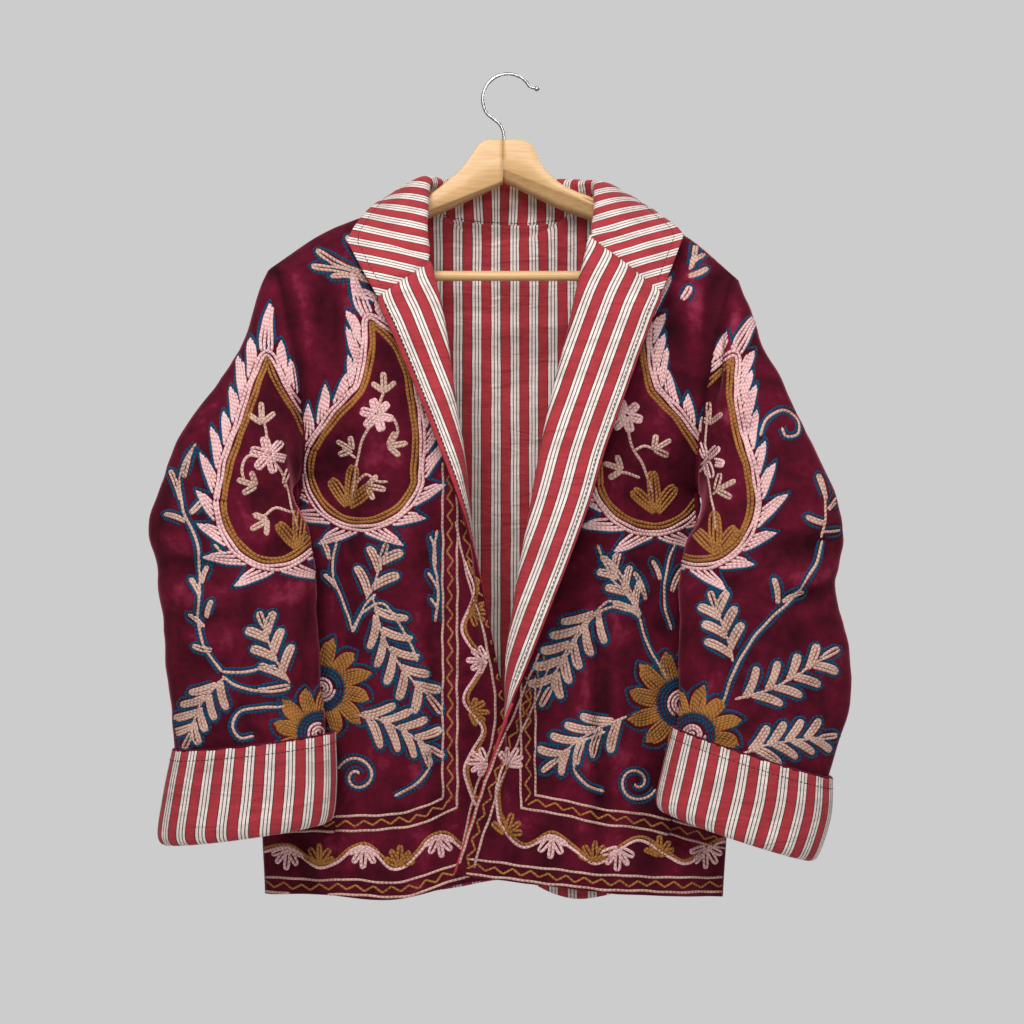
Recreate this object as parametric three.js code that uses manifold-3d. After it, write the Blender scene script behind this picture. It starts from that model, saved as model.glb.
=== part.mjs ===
// An embroidered velvet jacket with a striped lining, open at the front, hanging on a
// wooden hanger. Millimetres, +Z up. The origin is the inside top of the hanger's hook,
// where it hangs. +X is to the viewer's right, -Y towards the viewer: the wearer's right
// side is at -X. Every cloth piece is a thin wall on one continuous two-layer surface.
import * as THREE from "three";
import { mergeVertices } from "three/addons/utils/BufferGeometryUtils.js";
import Module from "manifold-3d";

// ---- driving dimensions --------------------------------------------------------------
const VELVET = 1.6;          // velvet wall with its embroidery ground
const LINING = 1.0;          // cotton lining wall
const BETWEEN = 0.3;         // air between velvet and lining
const SEAM = 0.28;           // each piece stops this far short of a seam line
const NECK_SEAM = 1.2;       // the collar, whose seams meet at sharper angles
const LAPEL_PUFF = 5;        // how far the middle of a lapel stands forward of its edges
const ARM_HALF = 6;          // half thickness of a hanger arm, along Y
const BAR_R = 5.1, BAR_Y = -30.5, BAR_Z = -208, BAR_END = 206;
const WIRE_R = 1.7, HOOK_R = 25.8, HOOK_Z = -24.1;   // hook wire and its centre line circle
const HOLE_GAP = 0.35;       // clearance of the bar and the wire in their holes

// ---- tables --------------------------------------------------------------------------
const table = (text) => {
  const [head, ...rows] = text.trim().split("\n").map((line) => line.trim().split(/\s+/));
  return rows.map((r) => Object.fromEntries(head.map((h, i) => [h, i ? parseFloat(r[i]) : r[i]])));
};

// A front panel, one row for each level from the shoulder seam to the hem. fold: where the
// panel reaches the neck edge or the start of its lapel; roll: the lapel's roll line;
// edge: its free edge. chest and flank are the depths at 2/3 and 1/3 of the way out to the
// armhole, and the _up columns lift those points above the straight line.
const FRONT_RIGHT = table(`
  row       fold_x fold_y fold_z  roll_x roll_y roll_z  edge_x edge_y edge_z  chest flank chest_up flank_up
  shoulder   -84.5   -5   -117.5     -     -      -        -     -      -     -14   -27     5    9
  neck1      -85.5  -28   -141.5     -     -      -        -     -      -     -38   -48     4    7
  neck2      -87.8  -42   -173.4     -     -      -        -     -      -     -49   -56     3    5
  gorge      -93.1  -56   -199.2   -76.8  -66  -198.4   -127.1  -82  -234.7   -59   -62     1    3
  bust1      -85.8  -64   -235.7   -68.5  -78  -237.2   -111.2  -86  -272.2   -66   -66     0    1
  bust2      -78.7  -68   -280.5   -60.5  -84  -281.8    -92.3  -92  -316.6   -71   -69     0    0
  bust3      -71.8  -70   -327.0   -54.4  -90  -328.2    -75.4 -101  -357.0   -73   -68     0    0
  bust4      -64.9  -70   -374.3   -46.6  -92  -375.1    -59.7 -107  -398.8   -74   -57     0    0
  underarm   -60.0  -69   -423.5   -40.9  -86  -423.7    -47.1 -108  -437.5   -73   -49     0    0
  waist1     -57.0  -68   -477.7   -37.1  -79  -477.6    -34.7 -100  -481.1   -71   -47     0    0
  waist2     -54.1  -66   -532.1   -33.3  -74  -531.7    -23.2  -88  -532.1   -69   -46     0    0
  hip1       -51.2  -64   -591.4   -29.4  -69  -591.1    -11.6  -76  -590.6   -67   -47     0    0
  hip2       -49.3  -61   -651.0   -23.6  -64  -650.7     -1.8  -67  -649.4   -65   -46     0    0
  hip3       -49.4  -59   -720.6   -24.6  -60  -720.5     -2.8  -61  -718.3   -63   -45    -2    0
  hem        -48.5  -57   -814.1   -25.6  -57  -810.1     -3.8  -57  -807.1   -61   -44    -8    0`);
const FRONT_LEFT = table(`
  row       fold_x fold_y fold_z  roll_x roll_y roll_z  edge_x edge_y edge_z  chest flank chest_up flank_up
  shoulder    91.5   -5   -119.0     -     -      -        -     -      -     -14   -27     8   11
  neck1       92.5  -28   -142.5     -     -      -        -     -      -     -38   -48     6    8
  neck2       96.1  -40   -163.2     -     -      -        -     -      -     -49   -56     4    6
  gorge      102.4  -54   -179.0    81.3  -62  -172.2    149.9  -84  -230.0   -59   -62     2    4
  bust1       98.0  -64   -220.9    71.0  -74  -222.0    140.6  -90  -256.0   -68   -66     0    2
  bust2       86.9  -70   -270.8    59.9  -82  -271.9    124.6  -97  -299.4   -73   -69     0    0
  bust3       75.9  -73   -320.3    47.0  -90  -324.3    109.6 -105  -340.7   -76   -68     0    0
  bust4       64.0  -75   -374.4    35.2  -98  -378.2     92.8 -112  -387.3   -77   -57     0    0
  underarm    54.2  -76   -428.5    25.4 -104  -431.6     79.1 -117  -433.7   -77   -49     0    0
  waist1      43.4  -77   -487.4    15.7 -110  -487.7     59.7 -122  -487.4   -76   -47     0    0
  waist2      36.5  -78   -541.4     7.0 -112  -540.7     39.5 -125  -539.1   -75   -46     0    0
  hip1        31.6  -78   -595.3     0.2 -108  -594.0     19.4 -127  -592.5   -73   -47     0    0
  hip2        29.6  -78   -649.3     0.2  -98  -648.2     -0.7 -122  -644.7   -71   -46     0    0
  hip3        28.7  -76   -718.2     0.2  -87  -716.7    -24.0 -100  -714.0   -68   -45     0    0
  hem         28.7  -72   -811.3    -7.7  -77  -806.5    -51.7  -82  -798.7   -65   -44    -1    0`);

// The side seams below the underarm.
const SIDE = table(`
  row      right_x right_y right_z  left_x left_y left_z
  waist1   -219.4    -8   -478.7    201.2    -8   -478.7
  waist2   -227.7    -7   -534.7    208.4    -7   -534.7
  hip1     -234.9    -6   -595.7    214.6    -6   -600.8
  hip2     -242.1    -5   -656.8    219.8    -5   -656.8
  hip3     -252.4    -4   -728.2    226.0    -4   -728.2
  hem      -249.4    -4   -833.1    220.9    -4   -836.1`);

// The back panel, by the same levels: the centre line, and the depth at the shoulder
// blades and over the flanks. The _up columns lift those points above the straight line.
const BACK = table(`
  row       mid_x mid_y mid_z  blade flank blade_up flank_up
  neck        -5   45   -146      -5   -20     0     0
  yoke1       -5   50   -172      28    11    40    18
  yoke2       -5   53   -202      41    25    36    15
  yoke3       -5   55   -233      48    33    30    11
  blade1      -5   56   -266      51    37    24     8
  blade2      -5   56   -303      53    40    18     6
  blade3      -5   55   -342      54    40    12     4
  blade4      -5   54   -383      53    38     6     2
  underarm    -5   53   -426      52    36     0     0
  waist1      -5   52   -480      50    34     0     0
  waist2      -5   50   -536      48    32     0     0
  hip1        -5   47   -597      46    31     0     0
  hip2        -5   44   -657      43    29     0     0
  hip3        -5   41   -730      40    28     0     0
  hem         -5   36   -826      36    26   -16     0`);

// The back neck seam between the two shoulder points.
const NECK = table(`
  point   x      y    z
  right3 -84.5   8  -120.5
  right2 -76.0  28  -137.5
  right1 -41.0  41  -144.0
  centre  -5.0  45  -146.0
  left1   33.3  43  -146.2
  left2   77.0  30  -139.5
  left3   91.5   8  -122.0`);

// A sleeve, one row for each ring from the armhole to the turned-back cuff. top and low are
// the ring's outer and inner points, fore and aft how far its front and back stand off the
// line between them (fore_x and aft_x sideways).
const SLEEVE_RIGHT = table(`
  ring       top_x  top_y  top_z   low_x  low_y  low_z  fore_x fore_y  aft_x aft_y
  armhole   -238.2  -38  -198.9   -212.0  -12  -412.8   17.5  -37    3.5  55
  cap1      -250.0  -47  -228.9   -216.0  -28  -424.5   10.0  -41   -4.0  51
  cap2      -258.8  -56  -266.6   -212.0  -40  -436.5    6.0  -44   -3.0  45
  arm1      -282.6  -64  -312.7   -205.5  -49  -447.5    3.0  -46   -2.0  40
  arm2      -315.3  -70  -358.5   -198.5  -54  -459.1    0.0  -46    0.0  37
  arm3      -339.2  -74  -411.8   -194.3  -59  -473.0    0.0  -45    0.0  35
  elbow     -352.6  -76  -458.0   -191.9  -63  -490.7    0.0  -44    0.0  34
  fore1     -344.4  -77  -504.1   -189.5  -65  -516.3    0.0  -44    0.0  34
  fore2     -333.5  -80  -603.0   -184.0  -71  -603.0    0.0  -41    0.0  33
  wrist     -324.9  -82  -697.8   -177.8  -74  -689.0    0.0  -39    0.0  33
  cuff_in   -332.4  -84  -762.1   -179.6  -76  -741.8    0.0  -38    0.0  32
  cuff_fold -335.8  -84  -767.0   -176.6  -76  -746.7    0.0  -42    0.0  36
  cuff_out  -339.2  -84  -762.1   -173.7  -76  -741.8    0.0  -46    0.0  40
  cuff_mid  -334.7  -82  -722.3   -170.8  -75  -710.5    0.0  -46    0.0  40
  cuff_top  -325.9  -81  -678.4   -172.0  -74  -661.5    0.0  -46    0.0  40`);
const SLEEVE_LEFT = table(`
  ring       top_x  top_y  top_z   low_x  low_y  low_z  fore_x fore_y  aft_x aft_y
  armhole    229.3  -38  -208.9    194.0  -12  -424.9  -14.0  -37   -3.5  55
  cap1       239.3  -47  -237.9    195.0  -27  -436.5   -8.0  -41    4.0  51
  cap2       251.1  -56  -276.5    191.5  -39  -449.5   -5.0  -44    3.0  45
  arm1       269.1  -64  -314.7    185.8  -48  -460.6   -3.0  -46    2.0  40
  arm2       291.9  -70  -364.4    179.5  -54  -467.5    0.0  -46    0.0  37
  arm3       315.9  -74  -411.8    174.7  -59  -478.9    0.0  -45    0.0  35
  elbow      330.4  -76  -468.8    172.3  -63  -496.7    0.0  -44    0.0  34
  fore1      321.2  -77  -512.0    170.0  -65  -520.3    0.0  -44    0.0  34
  fore2      337.0  -80  -608.0    168.5  -71  -596.0    0.0  -41    0.0  33
  wrist      311.6  -82  -713.5    165.3  -74  -673.3    0.0  -39    0.0  33
  cuff_in    294.6  -84  -776.8    155.4  -76  -731.0    0.0  -38    0.0  32
  cuff_fold  297.6  -84  -782.7    151.9  -76  -735.9    0.0  -42    0.0  36
  cuff_out   301.5  -84  -777.8    148.5  -76  -731.0    0.0  -46    0.0  40
  cuff_mid   313.5  -82  -741.9    154.5  -75  -696.8    0.0  -46    0.0  40
  cuff_top   315.5  -81  -705.8    164.5  -74  -657.6    0.0  -46    0.0  40`);

// The collar, one row for each station along its neck seam: the top of its fold, the start
// of the fall, and its free edge. At the ends it has no fold and lies on the lapel.
const COLLAR = table(`
  station   top_x  top_y  top_z   fall_x fall_y fall_z   free_x free_y free_z
  edge_r      -      -      -       -      -      -      -159.1  -56  -176.5
  roll_r      -      -      -       -      -      -      -153.7  -51  -165.6
  fold_r    -82.8  -67  -188.5    -98.3  -74  -187.3     -150.3  -46  -158.5
  neck2_r   -84.3  -55  -161.2    -98.8  -64  -163.3     -146.0  -36  -150.0
  neck1_r   -82.8  -36  -132.9    -99.9  -44  -137.2     -138.9  -15  -138.0
  point_r   -82.0   -7  -109.4    -97.0   -8  -112.0     -128.0    8  -127.8
  back_r    -61.8   22  -106.3    -72.7   38  -105.8      -98.1   53  -146.7
  centre     -3.2   36  -101.7     -3.2   52  -105.6       -3.3   65  -164.3
  back_l     63.8   22  -107.4     74.7   38  -106.8      103.2   53  -148.8
  point_l    89.3   -7  -110.8    102.0   -8  -113.3     133.1    8  -130.9
  neck1_l    89.2  -36  -133.9    104.1  -44  -136.2     146.1  -15  -140.0
  neck2_l    88.6  -53  -157.9    102.1  -62  -157.1     154.2  -29  -149.0
  fold_l     84.4 -63.5 -170.0    101.4  -74  -169.4      159.5  -40  -154.5
  roll_l      -      -      -       -      -      -       166.9  -46  -160.6
  edge_l      -      -      -       -      -      -       174.3  -52  -170.5`);

// The hanger's arms, out from the mitre: the top edge, the bottom edges of the front and
// back faces, the depth of the middle and the chamfer of the top edges. The back edge is
// lower, so the underside shows.
const ARM_RIGHT = table(`
  cut      x      top    front_low back_low  y    round
  mitre   -5.25  -65.8   -108.7   -110.0    0      2
  head   -20.5   -66.0   -114.9   -118.0    0      2
  neck1  -28.5   -69.5   -118.2   -121.8    0      2
  neck2  -37.7   -82.0   -121.8   -126.0    0      2
  neck3  -47.0   -94.8   -125.6   -130.5   -0.6    2
  neck4  -61.0  -107.5   -131.2   -137.0   -1.8    3
  show   -86.0  -126.0   -141.3   -148.3   -4.5    5
  arm1  -134.0  -147.5   -163.0   -170.0  -14      5
  arm2  -186.0  -171.5   -188.0   -194.0  -25      5
  arm3  -212.0  -188.0   -213.5   -218.0  -31      5
  tip   -225.0  -198.5   -215.0   -217.0  -34      5`);
const ARM_LEFT = table(`
  cut      x      top    front_low back_low  y    round
  mitre   -4.95  -65.8    -96.8   -108.5    0      2
  head    12.0   -66.0   -103.5   -116.5    0      2
  neck1   23.5   -70.5   -108.2   -122.0    0      2
  neck2   30.6   -84.0   -111.2   -125.5    0      2
  neck3   38.5   -97.0   -114.5   -129.3   -0.6    2
  neck4   56.0  -112.5   -121.8   -137.8   -1.8    3
  show    90.0  -127.0   -136.0   -150.5   -4.5    5
  arm1   135.6  -150.0   -162.0   -171.5  -14      5
  arm2   182.0  -179.0   -192.0   -199.0  -25      5
  arm3   204.0  -194.5   -214.0   -219.0  -31      5
  tip    214.0  -203.5   -216.0   -218.0  -33      5`);

// The hook's wire below its circle, up out of the wood.
const HOOK_STEM = table(`
  point   x      z
  foot   -4.2  -86.0
  wood   -4.0  -66.0
  rise1  -4.9  -57.0
  rise2  -8.6  -49.5
  rise3 -15.2  -44.0`);
const HOOK_FROM = 216, HOOK_TO = 30, HOOK_TIP = [29.6, -13.6], TIP_R = 2.7;   // degrees, mm

// ---- small vector helpers ------------------------------------------------------------
const add = (a, b) => [a[0] + b[0], a[1] + b[1], a[2] + b[2]];
const sub = (a, b) => [a[0] - b[0], a[1] - b[1], a[2] - b[2]];
const mul = (a, s) => [a[0] * s, a[1] * s, a[2] * s];
const mix = (a, b, t) => add(mul(a, 1 - t), mul(b, t));
const len = (a) => Math.hypot(...a);
const unit = (a) => mul(a, 1 / (len(a) || 1));
const cross = (a, b) => [a[1] * b[2] - a[2] * b[1], a[2] * b[0] - a[0] * b[2], a[0] * b[1] - a[1] * b[0]];
const at = (row, name) => [row[name + "_x"], row[name + "_y"], row[name + "_z"]];

// A smooth curve through knots (centripetal spline); station 2.5 is half way from knot 2 to 3.
const along = (knots, station) => {
  const n = knots.length;
  const i = Math.min(Math.floor(station), n - 2), f = station - i;
  const p1 = knots[i], p2 = knots[i + 1];
  const p0 = i > 0 ? knots[i - 1] : sub(mul(p1, 2), p2);
  const p3 = i + 2 < n ? knots[i + 2] : sub(mul(p2, 2), p1);
  const t0 = 0, t1 = t0 + Math.sqrt(len(sub(p1, p0)) || 1e-9);
  const t2 = t1 + Math.sqrt(len(sub(p2, p1)) || 1e-9), t3 = t2 + Math.sqrt(len(sub(p3, p2)) || 1e-9);
  const t = t1 + (t2 - t1) * f;
  const blend = (a, b, ta, tb) => add(mul(a, (tb - t) / (tb - ta)), mul(b, (t - ta) / (tb - ta)));
  const a1 = blend(p0, p1, t0, t1), a2 = blend(p1, p2, t1, t2), a3 = blend(p2, p3, t2, t3);
  const b1 = blend(a1, a2, t0, t2), b2 = blend(a2, a3, t1, t3);
  return blend(b1, b2, t1, t2);
};

// ---- the cloth surface ---------------------------------------------------------------
const LEVELS = FRONT_RIGHT.length;          // rows of a panel, shoulder to hem
const ARMHOLE_ROWS = 8;                     // rows 0 to 8 run down the armhole
const AROUND = 2 * ARMHOLE_ROWS;            // points round a sleeve
const PANEL_STATIONS = [0, 0.5, 1, 1.5, 2, 2.5, 3];
const LAPEL_STATIONS = [3.5, 4, 4.5, 5, 6];
const GORGE = 3;                            // the row where the lapel starts

// A ring of a sleeve: angle 0 is its top, and it runs down the front and up the back.
const ringPoint = (row, k) => {
  const angle = (2 * Math.PI * k) / AROUND, c = Math.cos(angle), s = Math.sin(angle);
  const top = at(row, "top"), low = at(row, "low");
  const side = s >= 0 ? [row.fore_x, row.fore_y, 0] : [row.aft_x, row.aft_y, 0];
  return add(mix(low, top, (1 + c) / 2), mul(side, Math.abs(s)));
};
const sleeveGrid = (rings) => rings.map((row) => Array.from({ length: AROUND }, (_, k) => ringPoint(row, k)));

const sideEdge = (i, sleeve, which, half) => {
  if (i <= ARMHOLE_ROWS) return ringPoint(sleeve[0], half > 0 ? i : (AROUND - i) % AROUND);
  return at(SIDE[i - ARMHOLE_ROWS - 1], which);
};
const frontKnots = (row, i, sleeve, which) => {
  const a = sideEdge(i, sleeve, which, 1), f = at(row, "fold");
  const chest = mix(a, f, 2 / 3), flank = mix(a, f, 1 / 3);
  chest[1] = row.chest; chest[2] += row.chest_up;
  flank[1] = row.flank; flank[2] += row.flank_up;
  const knots = [a, flank, chest, f];
  if (i >= GORGE) {
    const roll = at(row, "roll"), edge = at(row, "edge");
    const lapel = add(mix(roll, edge, 0.5), [0, -LAPEL_PUFF, 0]);
    knots.push(roll, lapel, edge);
  }
  return knots;
};
const frontGrid = (rows, sleeve, which) => rows.map((row, i) => {
  const knots = frontKnots(row, i, sleeve, which);
  const stations = i >= GORGE ? [...PANEL_STATIONS, ...LAPEL_STATIONS] : PANEL_STATIONS;
  const line = stations.map((s) => along(knots.slice(0, s <= 3 && i < GORGE ? 4 : 7), s));
  while (line.length < PANEL_STATIONS.length + LAPEL_STATIONS.length) line.push(null);
  return line;
});

const NECK_FAN = [0, 0.16, 0.1, 0.05];
const backGrid = (frontR, frontL) => BACK.map((row, i) => {
  if (i === 0) {
    const left = frontR[0].slice(0, 7), right = frontL[0].slice(0, 7).reverse();
    return [...left, ...NECK.map((p) => [p.x, p.y, p.z]), ...right];
  }
  const a = sideEdge(i, SLEEVE_RIGHT, "right", -1), b = sideEdge(i, SLEEVE_LEFT, "left", -1);
  const mid = at(row, "mid");
  const part = (p, share, y, up) => { const q = mix(p, mid, share); q[1] = y; q[2] += up; return q; };
  // knots at the same shares of the width as the shoulder point, so columns run straight
  const knots = [a, part(a, 0.33, row.flank, row.flank_up), part(a, 0.67, row.blade, row.blade_up), mid,
    part(b, 0.67, row.blade, row.blade_up), part(b, 0.33, row.flank, row.flank_up), b];
  // below the shoulder points the columns fan out, as the neck seam turns there
  const fan = NECK_FAN[i] || 0, turn = [0, 0, 0, 0, 0.1, 0.4, 1, 1.1, 0.7, 0.3, 0];
  const half = turn.map((w, k) => (k < 6 ? k / 3 : 2 + (k - 6) / 4) - fan * w);
  return [...half, ...half.slice(0, 10).reverse().map((s) => 6 - s)].map((s) => along(knots, s));
});

// The collar's sections start on the neck seam: round the right lapel's top edge, up the
// right neck edge, round the back neck, and the same way down the left.
const collarGrid = (frontR, frontL, back) => {
  const seam = [];
  const put = (p, station) => seam.push({ p, station });
  [11, 10, 9, 8].forEach((j, k) => put(frontR[GORGE][j], k / 3));
  put(frontR[GORGE][7], 1.5); put(frontR[GORGE][6], 2);
  put(frontR[2][6], 3); put(frontR[1][6], 4); put(frontR[0][6], 5);
  for (let k = 1; k < 8; k++) put(back[0][6 + k], 5 + k / 2);
  put(frontL[0][6], 9); put(frontL[1][6], 10); put(frontL[2][6], 11);
  put(frontL[GORGE][6], 12); put(frontL[GORGE][7], 12.5);
  [8, 9, 10, 11].forEach((j, k) => put(frontL[GORGE][j], 13 + k / 3));
  const flat = (row, p) => {                       // a section with no fold of its own
    const free = at(row, "free");
    const [near, half] = row.station.startsWith("roll") ? [0.06, 0.3] : [0.3, 0.6];
    return { top: add(mix(p, free, near), [0, -2, 0]), fall: add(mix(p, free, half), [0, -4, 0]) };
  };
  const spot = (name, station, p) => {
    if (name === "free") return along(COLLAR.map((r) => at(r, "free")), station);
    const i = Math.min(Math.floor(station), COLLAR.length - 2), f = station - i;
    const folded = (k) => !Number.isNaN(COLLAR[k].top_x);
    const known = (k, q) => {
      if (folded(k)) return at(COLLAR[k], name);
      const foot = folded(i) || folded(i + 1) ? seam.find((s) => s.station === k).p : q;
      return flat(COLLAR[k], foot)[name];
    };
    if (f < 1e-6) return known(i, p);
    if (folded(i) && folded(i + 1)) {
      const first = COLLAR.findIndex((_, k) => folded(k));
      return along(COLLAR.filter((_, k) => folded(k)).map((r) => at(r, name)), station - first);
    }
    return mix(known(i, p), known(i + 1, p), f);
  };
  return seam.map(({ p, station }) => {
    const knots = [p, spot("top", station, p), spot("fall", station, p), spot("free", station, p)];
    return [0, 0.6, 1, 1.5, 2, 3].map((s) => along(knots, s));
  });
};

// ---- walls ---------------------------------------------------------------------------
// A piece of cloth: its points, and its normals on the velvet side.
const makePiece = (points, sign, { panel = true, wrap = false, seam = SEAM } = {}) => {
  const rows = points.length, cols = points[0].length;
  const get = (i, j) => {
    if (i < 0 || i >= rows) return null;
    if (wrap) return points[i][(j + cols) % cols];
    return j < 0 || j >= cols ? null : points[i][j];
  };
  const quads = [];
  for (let i = 0; i < rows - 1; i++)
    for (let j = 0; j < (wrap ? cols : cols - 1); j++)
      if (get(i, j) && get(i, j + 1) && get(i + 1, j) && get(i + 1, j + 1)) quads.push([i, j, i + 1, (j + 1) % cols]);
  const normals = points.map((line) => line.map(() => [0, 0, 0]));
  const inward = points.map((line) => line.map(() => [0, 0, 0]));
  for (const [i, j, i2, j2] of quads) {
    const a = points[i][j], b = points[i][j2], c = points[i2][j2], d = points[i2][j];
    const n = mul(unit(cross(sub(c, a), sub(d, b))), sign);
    const middle = mul(add(add(a, b), add(c, d)), 0.25);
    for (const [r, s] of [[i, j], [i, j2], [i2, j2], [i2, j]]) {
      normals[r][s] = add(normals[r][s], n);
      inward[r][s] = add(inward[r][s], unit(sub(middle, points[r][s])));
    }
  }
  return { points, quads, normals: normals.map((l) => l.map(unit)), inward, sign, seam, panel };
};

// Pieces that share a seam take one normal there, and each stops short of the seam line.
const joinSeams = (pieces) => {
  const spots = new Map();
  for (const piece of pieces)
    piece.points.forEach((line, i) => line.forEach((p, j) => {
      if (!p) return;
      const key = p.map((v) => Math.round(v * 100 + 0.137)).join(",");
      if (!spots.has(key)) spots.set(key, []);
      spots.get(key).push([piece, i, j]);
    }));
  const moves = [];
  for (const group of spots.values()) {
    if (new Set(group.map((g) => g[0])).size < 2) continue;
    // front and back count together, so that a sleeve or the collar weighs as much as the body
    const normals = (part) => group.filter(([q]) => q.panel === part).map(([q, i, j]) => q.normals[i][j]);
    const body = normals(true), rest = normals(false);
    const n = unit([...(body.length ? [unit(body.reduce(add))] : []), ...rest].reduce(add));
    for (const [q, i, j] of group) {
      const side = sub(q.inward[i][j], mul(n, q.inward[i][j].reduce((s, v, k) => s + v * n[k], 0)));
      moves.push([q, i, j, n, add(q.points[i][j], mul(unit(side), q.seam))]);
    }
  }
  for (const [q, i, j, n, p] of moves) { q.normals[i][j] = n; q.points[i][j] = p; }
};

// The wall between two depths below the velvet face.
const wall = (piece, near, far) => {
  const index = new Map(), positions = [], faces = [];
  const vertex = (i, j, side) => {
    const key = `${i},${j},${side}`;
    if (!index.has(key)) {
      index.set(key, positions.length / 3);
      positions.push(...sub(piece.points[i][j], mul(piece.normals[i][j], side ? far : near)));
    }
    return index.get(key);
  };
  const edges = new Map();
  for (const [i, j, i2, j2] of piece.quads) {
    let loop = [[i, j], [i2, j], [i2, j2], [i, j2]];
    if (piece.sign < 0) loop = loop.reverse();
    const [a, b, c, d] = loop.map(([r, s]) => vertex(r, s, 0));
    const [e, f, g, h] = loop.map(([r, s]) => vertex(r, s, 1));
    faces.push([a, b, c], [a, c, d], [e, g, f], [e, h, g]);
    loop.forEach((p, k) => {
      const q = loop[(k + 1) % 4], back = `${q}|${p}`;
      if (edges.has(back)) edges.delete(back); else edges.set(`${p}|${q}`, [p, q]);
    });
  }
  for (const [p, q] of edges.values()) {
    const a = vertex(...p, 0), b = vertex(...q, 0), c = vertex(...q, 1), d = vertex(...p, 1);
    faces.push([b, a, d], [b, d, c]);
  }
  return closed(positions, faces);
};

// A closed geometry, turned so that its faces point out.
const closed = (positions, faces) => {
  let volume = 0;
  const v = (k) => positions.slice(3 * k, 3 * k + 3);
  for (const [a, b, c] of faces) volume += cross(v(a), v(b)).reduce((s, x, k) => s + x * v(c)[k], 0);
  const geometry = new THREE.BufferGeometry();
  geometry.setAttribute("position", new THREE.Float32BufferAttribute(positions, 3));
  geometry.setIndex(faces.flatMap(([a, b, c]) => (volume < 0 ? [b, a, c] : [c, a, b])));
  geometry.computeVertexNormals();
  return geometry;
};

// ---- the hanger ----------------------------------------------------------------------
// A solid through cross sections of equal point count, with flat ends.
const loft = (sections) => {
  const n = sections[0].length, positions = sections.flat(2), faces = [];
  for (let s = 0; s < sections.length - 1; s++)
    for (let k = 0; k < n; k++) {
      const a = s * n + k, b = s * n + ((k + 1) % n), c = b + n, d = a + n;
      faces.push([a, b, c], [a, c, d]);
    }
  const last = (sections.length - 1) * n;
  for (let k = 1; k < n - 1; k++) faces.push([0, k + 1, k], [last, last + k, last + k + 1]);
  return closed(positions, faces);
};
const armGeometry = (rows) => loft(rows.map((r) => [
  [r.x, r.y - ARM_HALF, r.front_low], [r.x, r.y - ARM_HALF, r.top - r.round],
  [r.x, r.y - ARM_HALF + r.round, r.top], [r.x, r.y + ARM_HALF - r.round, r.top],
  [r.x, r.y + ARM_HALF, r.top - r.round], [r.x, r.y + ARM_HALF, r.back_low]]));
const wirePath = () => {
  const points = HOOK_STEM.map((p) => new THREE.Vector3(p.x, 0, p.z));
  for (let a = HOOK_FROM; a >= HOOK_TO; a -= 15.5)
    points.push(new THREE.Vector3(HOOK_R * Math.cos((a * Math.PI) / 180), 0, HOOK_Z + HOOK_R * Math.sin((a * Math.PI) / 180)));
  points.push(new THREE.Vector3(HOOK_TIP[0] - 2, 0, HOOK_TIP[1] + 0.6), new THREE.Vector3(HOOK_TIP[0], 0, HOOK_TIP[1]));
  return new THREE.CatmullRomCurve3(points, false, "centripetal");
};
const circle = (r) => { const s = new THREE.Shape(); s.absarc(0, 0, r, 0, 2 * Math.PI, false); return s; };

const wasm = await Module();
wasm.setup();
const solid = (geometry) => {
  const g = geometry.clone();
  g.deleteAttribute("normal"); g.deleteAttribute("uv");
  const m = mergeVertices(g, 1e-4);
  return new wasm.Manifold(new wasm.Mesh({ numProp: 3, vertProperties: m.getAttribute("position").array, triVerts: m.getIndex().array }));
};
const geometryOf = (manifold) => {
  const mesh = manifold.getMesh(), geometry = new THREE.BufferGeometry();
  geometry.setAttribute("position", new THREE.BufferAttribute(new Float32Array(mesh.vertProperties), 3));
  geometry.setIndex(new THREE.BufferAttribute(new Uint32Array(mesh.triVerts), 1));
  geometry.computeVertexNormals();
  return geometry;
};
const rod = (r, length, sides) => new THREE.CylinderGeometry(r, r, length, sides);

// ---- the object ----------------------------------------------------------------------
const frontRight = frontGrid(FRONT_RIGHT, SLEEVE_RIGHT, "right");
const frontLeft = frontGrid(FRONT_LEFT, SLEEVE_LEFT, "left");
const back = backGrid(frontRight, frontLeft);
const collar = collarGrid(frontRight, frontLeft, back);
const cloth = {
  front_right: makePiece(frontRight, -1),
  front_left: makePiece(frontLeft, 1),
  back: makePiece(back, 1),
  sleeve_right: makePiece(sleeveGrid(SLEEVE_RIGHT), -1, { panel: false, wrap: true }),
  sleeve_left: makePiece(sleeveGrid(SLEEVE_LEFT), 1, { panel: false, wrap: true }),
  collar: makePiece(collar, 1, { panel: false, seam: NECK_SEAM }),
};
joinSeams(Object.values(cloth));

const finish = (color, roughness, metalness = 0) => new THREE.MeshStandardMaterial({ color, roughness, metalness });
const jacket = new THREE.Group();
const place = (name, geometry, material, parent = jacket) => {
  const mesh = new THREE.Mesh(geometry, material);
  mesh.name = name;
  parent.add(mesh);
  return mesh;
};
const velvet = (name, piece) => place(name, wall(piece, 0, VELVET), finish(0x5a0c23, 0.9));
const lining = (name, piece) => place(name, wall(piece, VELVET + BETWEEN, VELVET + BETWEEN + LINING), finish(0xb9283a, 0.85));
velvet("back", cloth.back);
velvet("front_right", cloth.front_right);
velvet("front_left", cloth.front_left);
velvet("sleeve_right", cloth.sleeve_right);
velvet("sleeve_left", cloth.sleeve_left);
velvet("collar_under", cloth.collar);
lining("back_lining", cloth.back);
lining("front_lining_right", cloth.front_right);
lining("front_lining_left", cloth.front_left);
lining("sleeve_lining_right", cloth.sleeve_right);
lining("sleeve_lining_left", cloth.sleeve_left);
lining("collar_upper", cloth.collar);

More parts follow.
